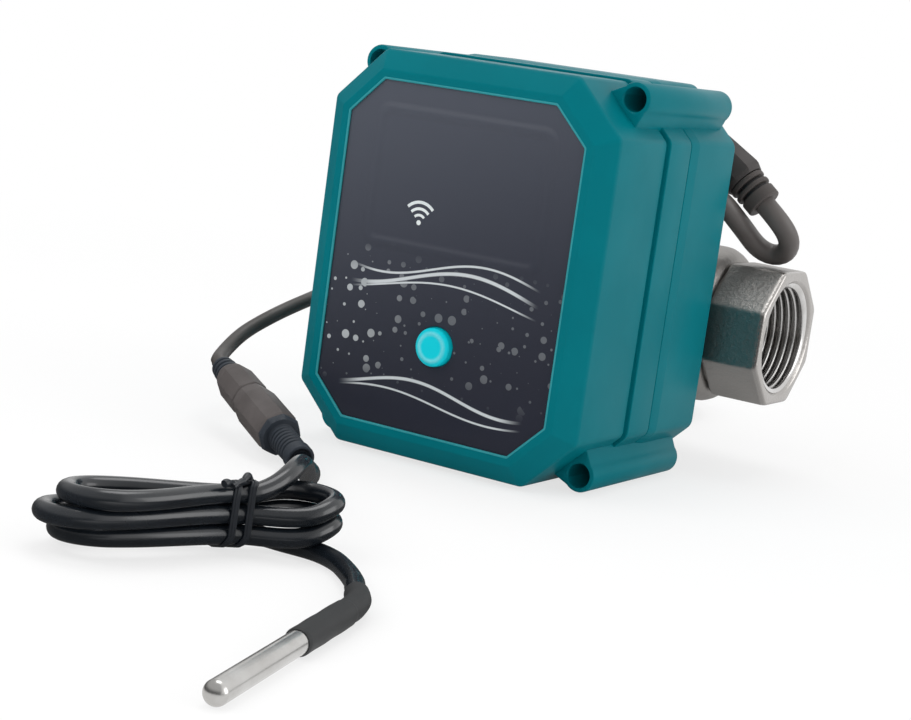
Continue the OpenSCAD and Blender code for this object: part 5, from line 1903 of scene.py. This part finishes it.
    def connector_half(self, name: str, patch: Patch, node: str) -> bpy.types.Object:
        """Builds a faceted half of the connector, which stands for one solid."""
        return place_piece(name, [patch], CONNECTOR, "connector_plastic", node, crease=FACET_CREASE)

    def build(self) -> None:
        place_piece("lead_grommet", [self.grommet()], RELIEF, "grey_rubber", "probe_grommet")
        pigtail_path, path = self.pigtail_path(), self.lead_path()
        jacket = tube(even_path(pigtail_path, 0.9), circle_outline(self.pigtail_d / 2, 24, self.groove))
        pigtail = place_piece("pigtail_lead", [jacket], GREY_JACKET, "grey_pvc", "probe_pigtail")
        neck, socket = self.socket()
        neck_piece = place_piece("socket_neck", [neck], RELIEF, "connector_plastic")
        socket_piece = self.connector_half("socket_body", socket, "connector_socket")
        plug, relief = self.plug()
        plug_piece = self.connector_half("plug_body", plug, "connector_plug")
        relief_piece = place_piece("plug_relief", [relief], RELIEF, "connector_plastic")
        nodes = ("probe_lead_near", "probe_hank", "probe_lead_far")
        jacket = tube(even_path(path, 0.9), circle_outline(self.diameter / 2, 20))
        lead = place_piece("probe_lead", [jacket], BLACK_JACKET, "black_pvc", *nodes)
        tie = place_piece("twist_tie", [self.tie_strip(), *self.tie_ends()], TIE, "black_plastic", "hank_tie")
        sleeve = place_piece("shrink_sleeve", [self.sleeve()], SHRINK, "shrink", "probe_sleeve")
        probe = place_piece("steel_probe", [self.probe()], PROBE, "stainless", "probe_tube")
        log.info("pigtail %.3f m, probe lead %.3f m", path_length(pigtail_path) * MM, path_length(path) * MM)


# Stage


@dataclass(frozen=True)
class Lamp:
    """A soft square lamp.

    Attributes:
        name: Name of the lamp.
        place: Where it stands, in metres.
        size: Length of its side in metres.
        power: Its power in watts.
        mirrored: Whether shiny surfaces show it.
    """

    name: str
    place: Point
    size: float
    power: float
    mirrored: bool = True

    def build(self, aim: Point) -> None:
        """Hangs the lamp and turns it to the aim.

        Args:
            aim: Point that it shines at, in metres.
        """
        data = bpy.data.lights.new(self.name, "AREA")
        data.size, data.energy = self.size, self.power
        lamp = bpy.data.objects.new(self.name, data)
        lamp.location = self.place
        lamp.rotation_euler = (Vector(aim) - Vector(self.place)).to_track_quat("-Z", "Y").to_euler()
        lamp.visible_glossy = self.mirrored
        bpy.context.scene.collection.objects.link(lamp)


@dataclass
class Studio:
    """Camera, floor, lamps and backdrop.

    Attributes:
        eye: Camera's place in millimetres.
        right: The camera's right.
        down: The camera's down.
        forward: The camera's view direction.
        film: Width of the camera's film.
        lens: Focal length of the camera.
        front: Brightness of the room behind the camera in reflections.
        aim: Point that the lamps shine at, in metres.
        probe_mid: Middle of the probe on the floor, in metres.
        floor_half: Half the floor's width in metres.
        lean: Share of X in what counts as behind the part.
        lamps: The lamps.
    """

    eye: Point = (229.34, -438.46, 96.02)
    right: Point = (0.84809, 0.51202, 0.13634)
    down: Point = (0.19615, -0.06435, -0.97846)
    forward: Point = (-0.49222, 0.85656, -0.15501)
    film: float = 36.0
    lens: float = 2100.0 * 36.0 / 911.0
    front: float = 0.1
    aim: Point = (0.0, -0.03, 0.045)
    probe_mid: Point = (0.068, -0.2, 0.0)
    floor_half: float = 6.0
    lean: float = 0.7
    lamps: tuple[Lamp, ...] = (
        Lamp("lamp_key", (-0.4, -0.85, 0.85), 0.9, 5.4, False),
        Lamp("lamp_side", (1.0, 0.3, 0.3), 0.8, 3.6),
        Lamp("lamp_fill", (0.35, -1.0, 0.2), 0.8, 2.7, False),
        Lamp("lamp_top", (-0.1, 0.15, 1.1), 0.6, 3.0),
    )

    def camera(self) -> None:
        """Places the camera at the photograph's viewpoint."""
        data = bpy.data.cameras.new("camera")
        data.sensor_fit, data.sensor_width, data.lens = "HORIZONTAL", self.film, self.lens
        data.clip_start, data.clip_end = 0.01, 20.0
        eye = bpy.data.objects.new("camera", data)
        turn = np.stack([self.right, np.negative(self.down), np.negative(self.forward)], axis=1)
        place = Matrix(turn.tolist()).to_4x4()
        place.translation = Vector(self.eye) * MM
        eye.matrix_world = place
        bpy.context.scene.collection.objects.link(eye)
        bpy.context.scene.camera = eye

    def rays(self, tree: Tree) -> tuple[Socket, Socket]:
        """Tells the kinds of rays apart.

        Args:
            tree: Tree of the material or the world.

        Returns:
            Masks of reflected rays, and of rays from the eye or through glass.
        """
        ray = tree.add("ShaderNodeLightPath").outputs
        direct = tree.math("MAXIMUM", ray["Is Camera Ray"], ray["Is Transmission Ray"])
        return ray["Is Glossy Ray"], direct

    def seen(self, tree: Tree, mirrored: object, rest: object) -> Socket:
        """A value that depends on the ray: 1 for the eye's own and those through glass.

        Args:
            tree: Tree of the material or the world.
            mirrored: Value for reflections.
            rest: Value for soft light.

        Returns:
            The value.
        """
        glossy, direct = self.rays(tree)
        value = tree.math("MULTIPLY_ADD", glossy, tree.math("SUBTRACT", mirrored, rest), rest)
        return tree.math("MAXIMUM", value, direct)

    def floor_material(self) -> bpy.types.Material:
        """Pale floor near the object and white away from it; in reflections dark in front, but at the probe.

        Returns:
            The material.
        """
        material = bpy.data.materials.new("pale_floor")
        material.use_nodes = True
        tree, nodes = Tree(material.node_tree), material.node_tree.nodes
        matt = {"Base Color": (0.92, 0.92, 0.92), "Roughness": 0.9, "Specular IOR Level": 0.1}
        shader = tree.fill(nodes["Principled BSDF"], matt).outputs[0]
        place = tree.add("ShaderNodeTexCoord").outputs["Object"]
        parts = tree.split(place)
        share = tree.spread(tree.vector("LENGTH", place)["Value"], 0.15, 0.45, 0.72, 1.0)
        back = tree.math("MULTIPLY_ADD", parts["X"], self.lean, parts["Y"])
        behind = tree.spread(back, -0.08, 0.2, self.front, 1.0)
        apart = tree.vector("DISTANCE", place, self.probe_mid)["Value"]
        mirrored = tree.math("MAXIMUM", behind, tree.spread(apart, 0.02, 0.06, 0.95, self.front))
        bright = {"Strength": self.seen(tree, mirrored, 1.0)}
        white = tree.fill(tree.add("ShaderNodeEmission"), bright).outputs[0]
        glossy, direct = self.rays(tree)
        mask = tree.math("MAXIMUM", glossy, tree.math("MULTIPLY", share, direct))
        both = tree.fill(tree.add("ShaderNodeMixShader"), {0: mask, 1: shader, 2: white})
        tree.fill(nodes["Material Output"], {"Surface": both.outputs[0]})
        return material

    def floor(self) -> None:
        """Lays a wide pale floor, which goes over to plain white away from the object."""
        mesh = bpy.data.meshes.new("floor")
        corners = np.column_stack([SQUARE * self.floor_half, np.zeros(4)])
        mesh.from_pydata(corners.tolist(), [], [(0, 1, 2, 3)])
        mesh.materials.append(self.floor_material())
        piece = bpy.data.objects.new("floor", mesh)
        bpy.context.scene.collection.objects.link(piece)

    def lights(self) -> None:
        """Hangs the lamps and aims them at the housing."""
        for lamp in self.lamps:
            lamp.build(self.aim)

    def backdrop(self) -> None:
        """A world that is white to the eye, and in reflections white behind the part and dark in front."""
        world = bpy.data.worlds.new("studio")
        bpy.context.scene.world = world
        world.use_nodes = True
        tree = Tree(world.node_tree)
        parts = tree.split(tree.add("ShaderNodeTexCoord").outputs["Generated"])
        back = tree.math("MULTIPLY_ADD", parts["X"], self.lean, parts["Y"])
        behind = tree.spread(back, -0.2, 0.5, self.front, 1.0)
        mirrored = tree.math("MAXIMUM", behind, tree.spread(parts["Z"], 0.05, 0.55, self.front, 0.6))
        soft = tree.spread(parts["Y"], -0.7, 0.1, 0.3, 0.75)
        values = {"Color": (1.0, 1.0, 1.0), "Strength": self.seen(tree, mirrored, soft)}
        tree.fill(world.node_tree.nodes["Background"], values)

    def build(self) -> None:
        """Sets the stage."""
        bpy.context.scene.view_settings.view_transform = "Standard"
        self.camera()
        self.floor()
        self.lights()
        self.backdrop()


def dress_nodes() -> None:
    """Gives every shown solid its finish."""
    for finish, names in NODE_FINISHES.items():
        for name in names:
            dress(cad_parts[name], finish)


def main() -> None:
    """Builds the stage, the leads, the covers, the valve and its threads, and dresses the solids."""
    logging.basicConfig(level=logging.INFO, format="%(name)s %(message)s")
    grain_group()
    tool_group()
    Studio().build()
    PowerLead().build()
    ProbeLead().build()
    Covers().build()
    ValveCasting().build()
    PipeThread().build()
    dress_nodes()


if __name__ == "__main__":
    main()
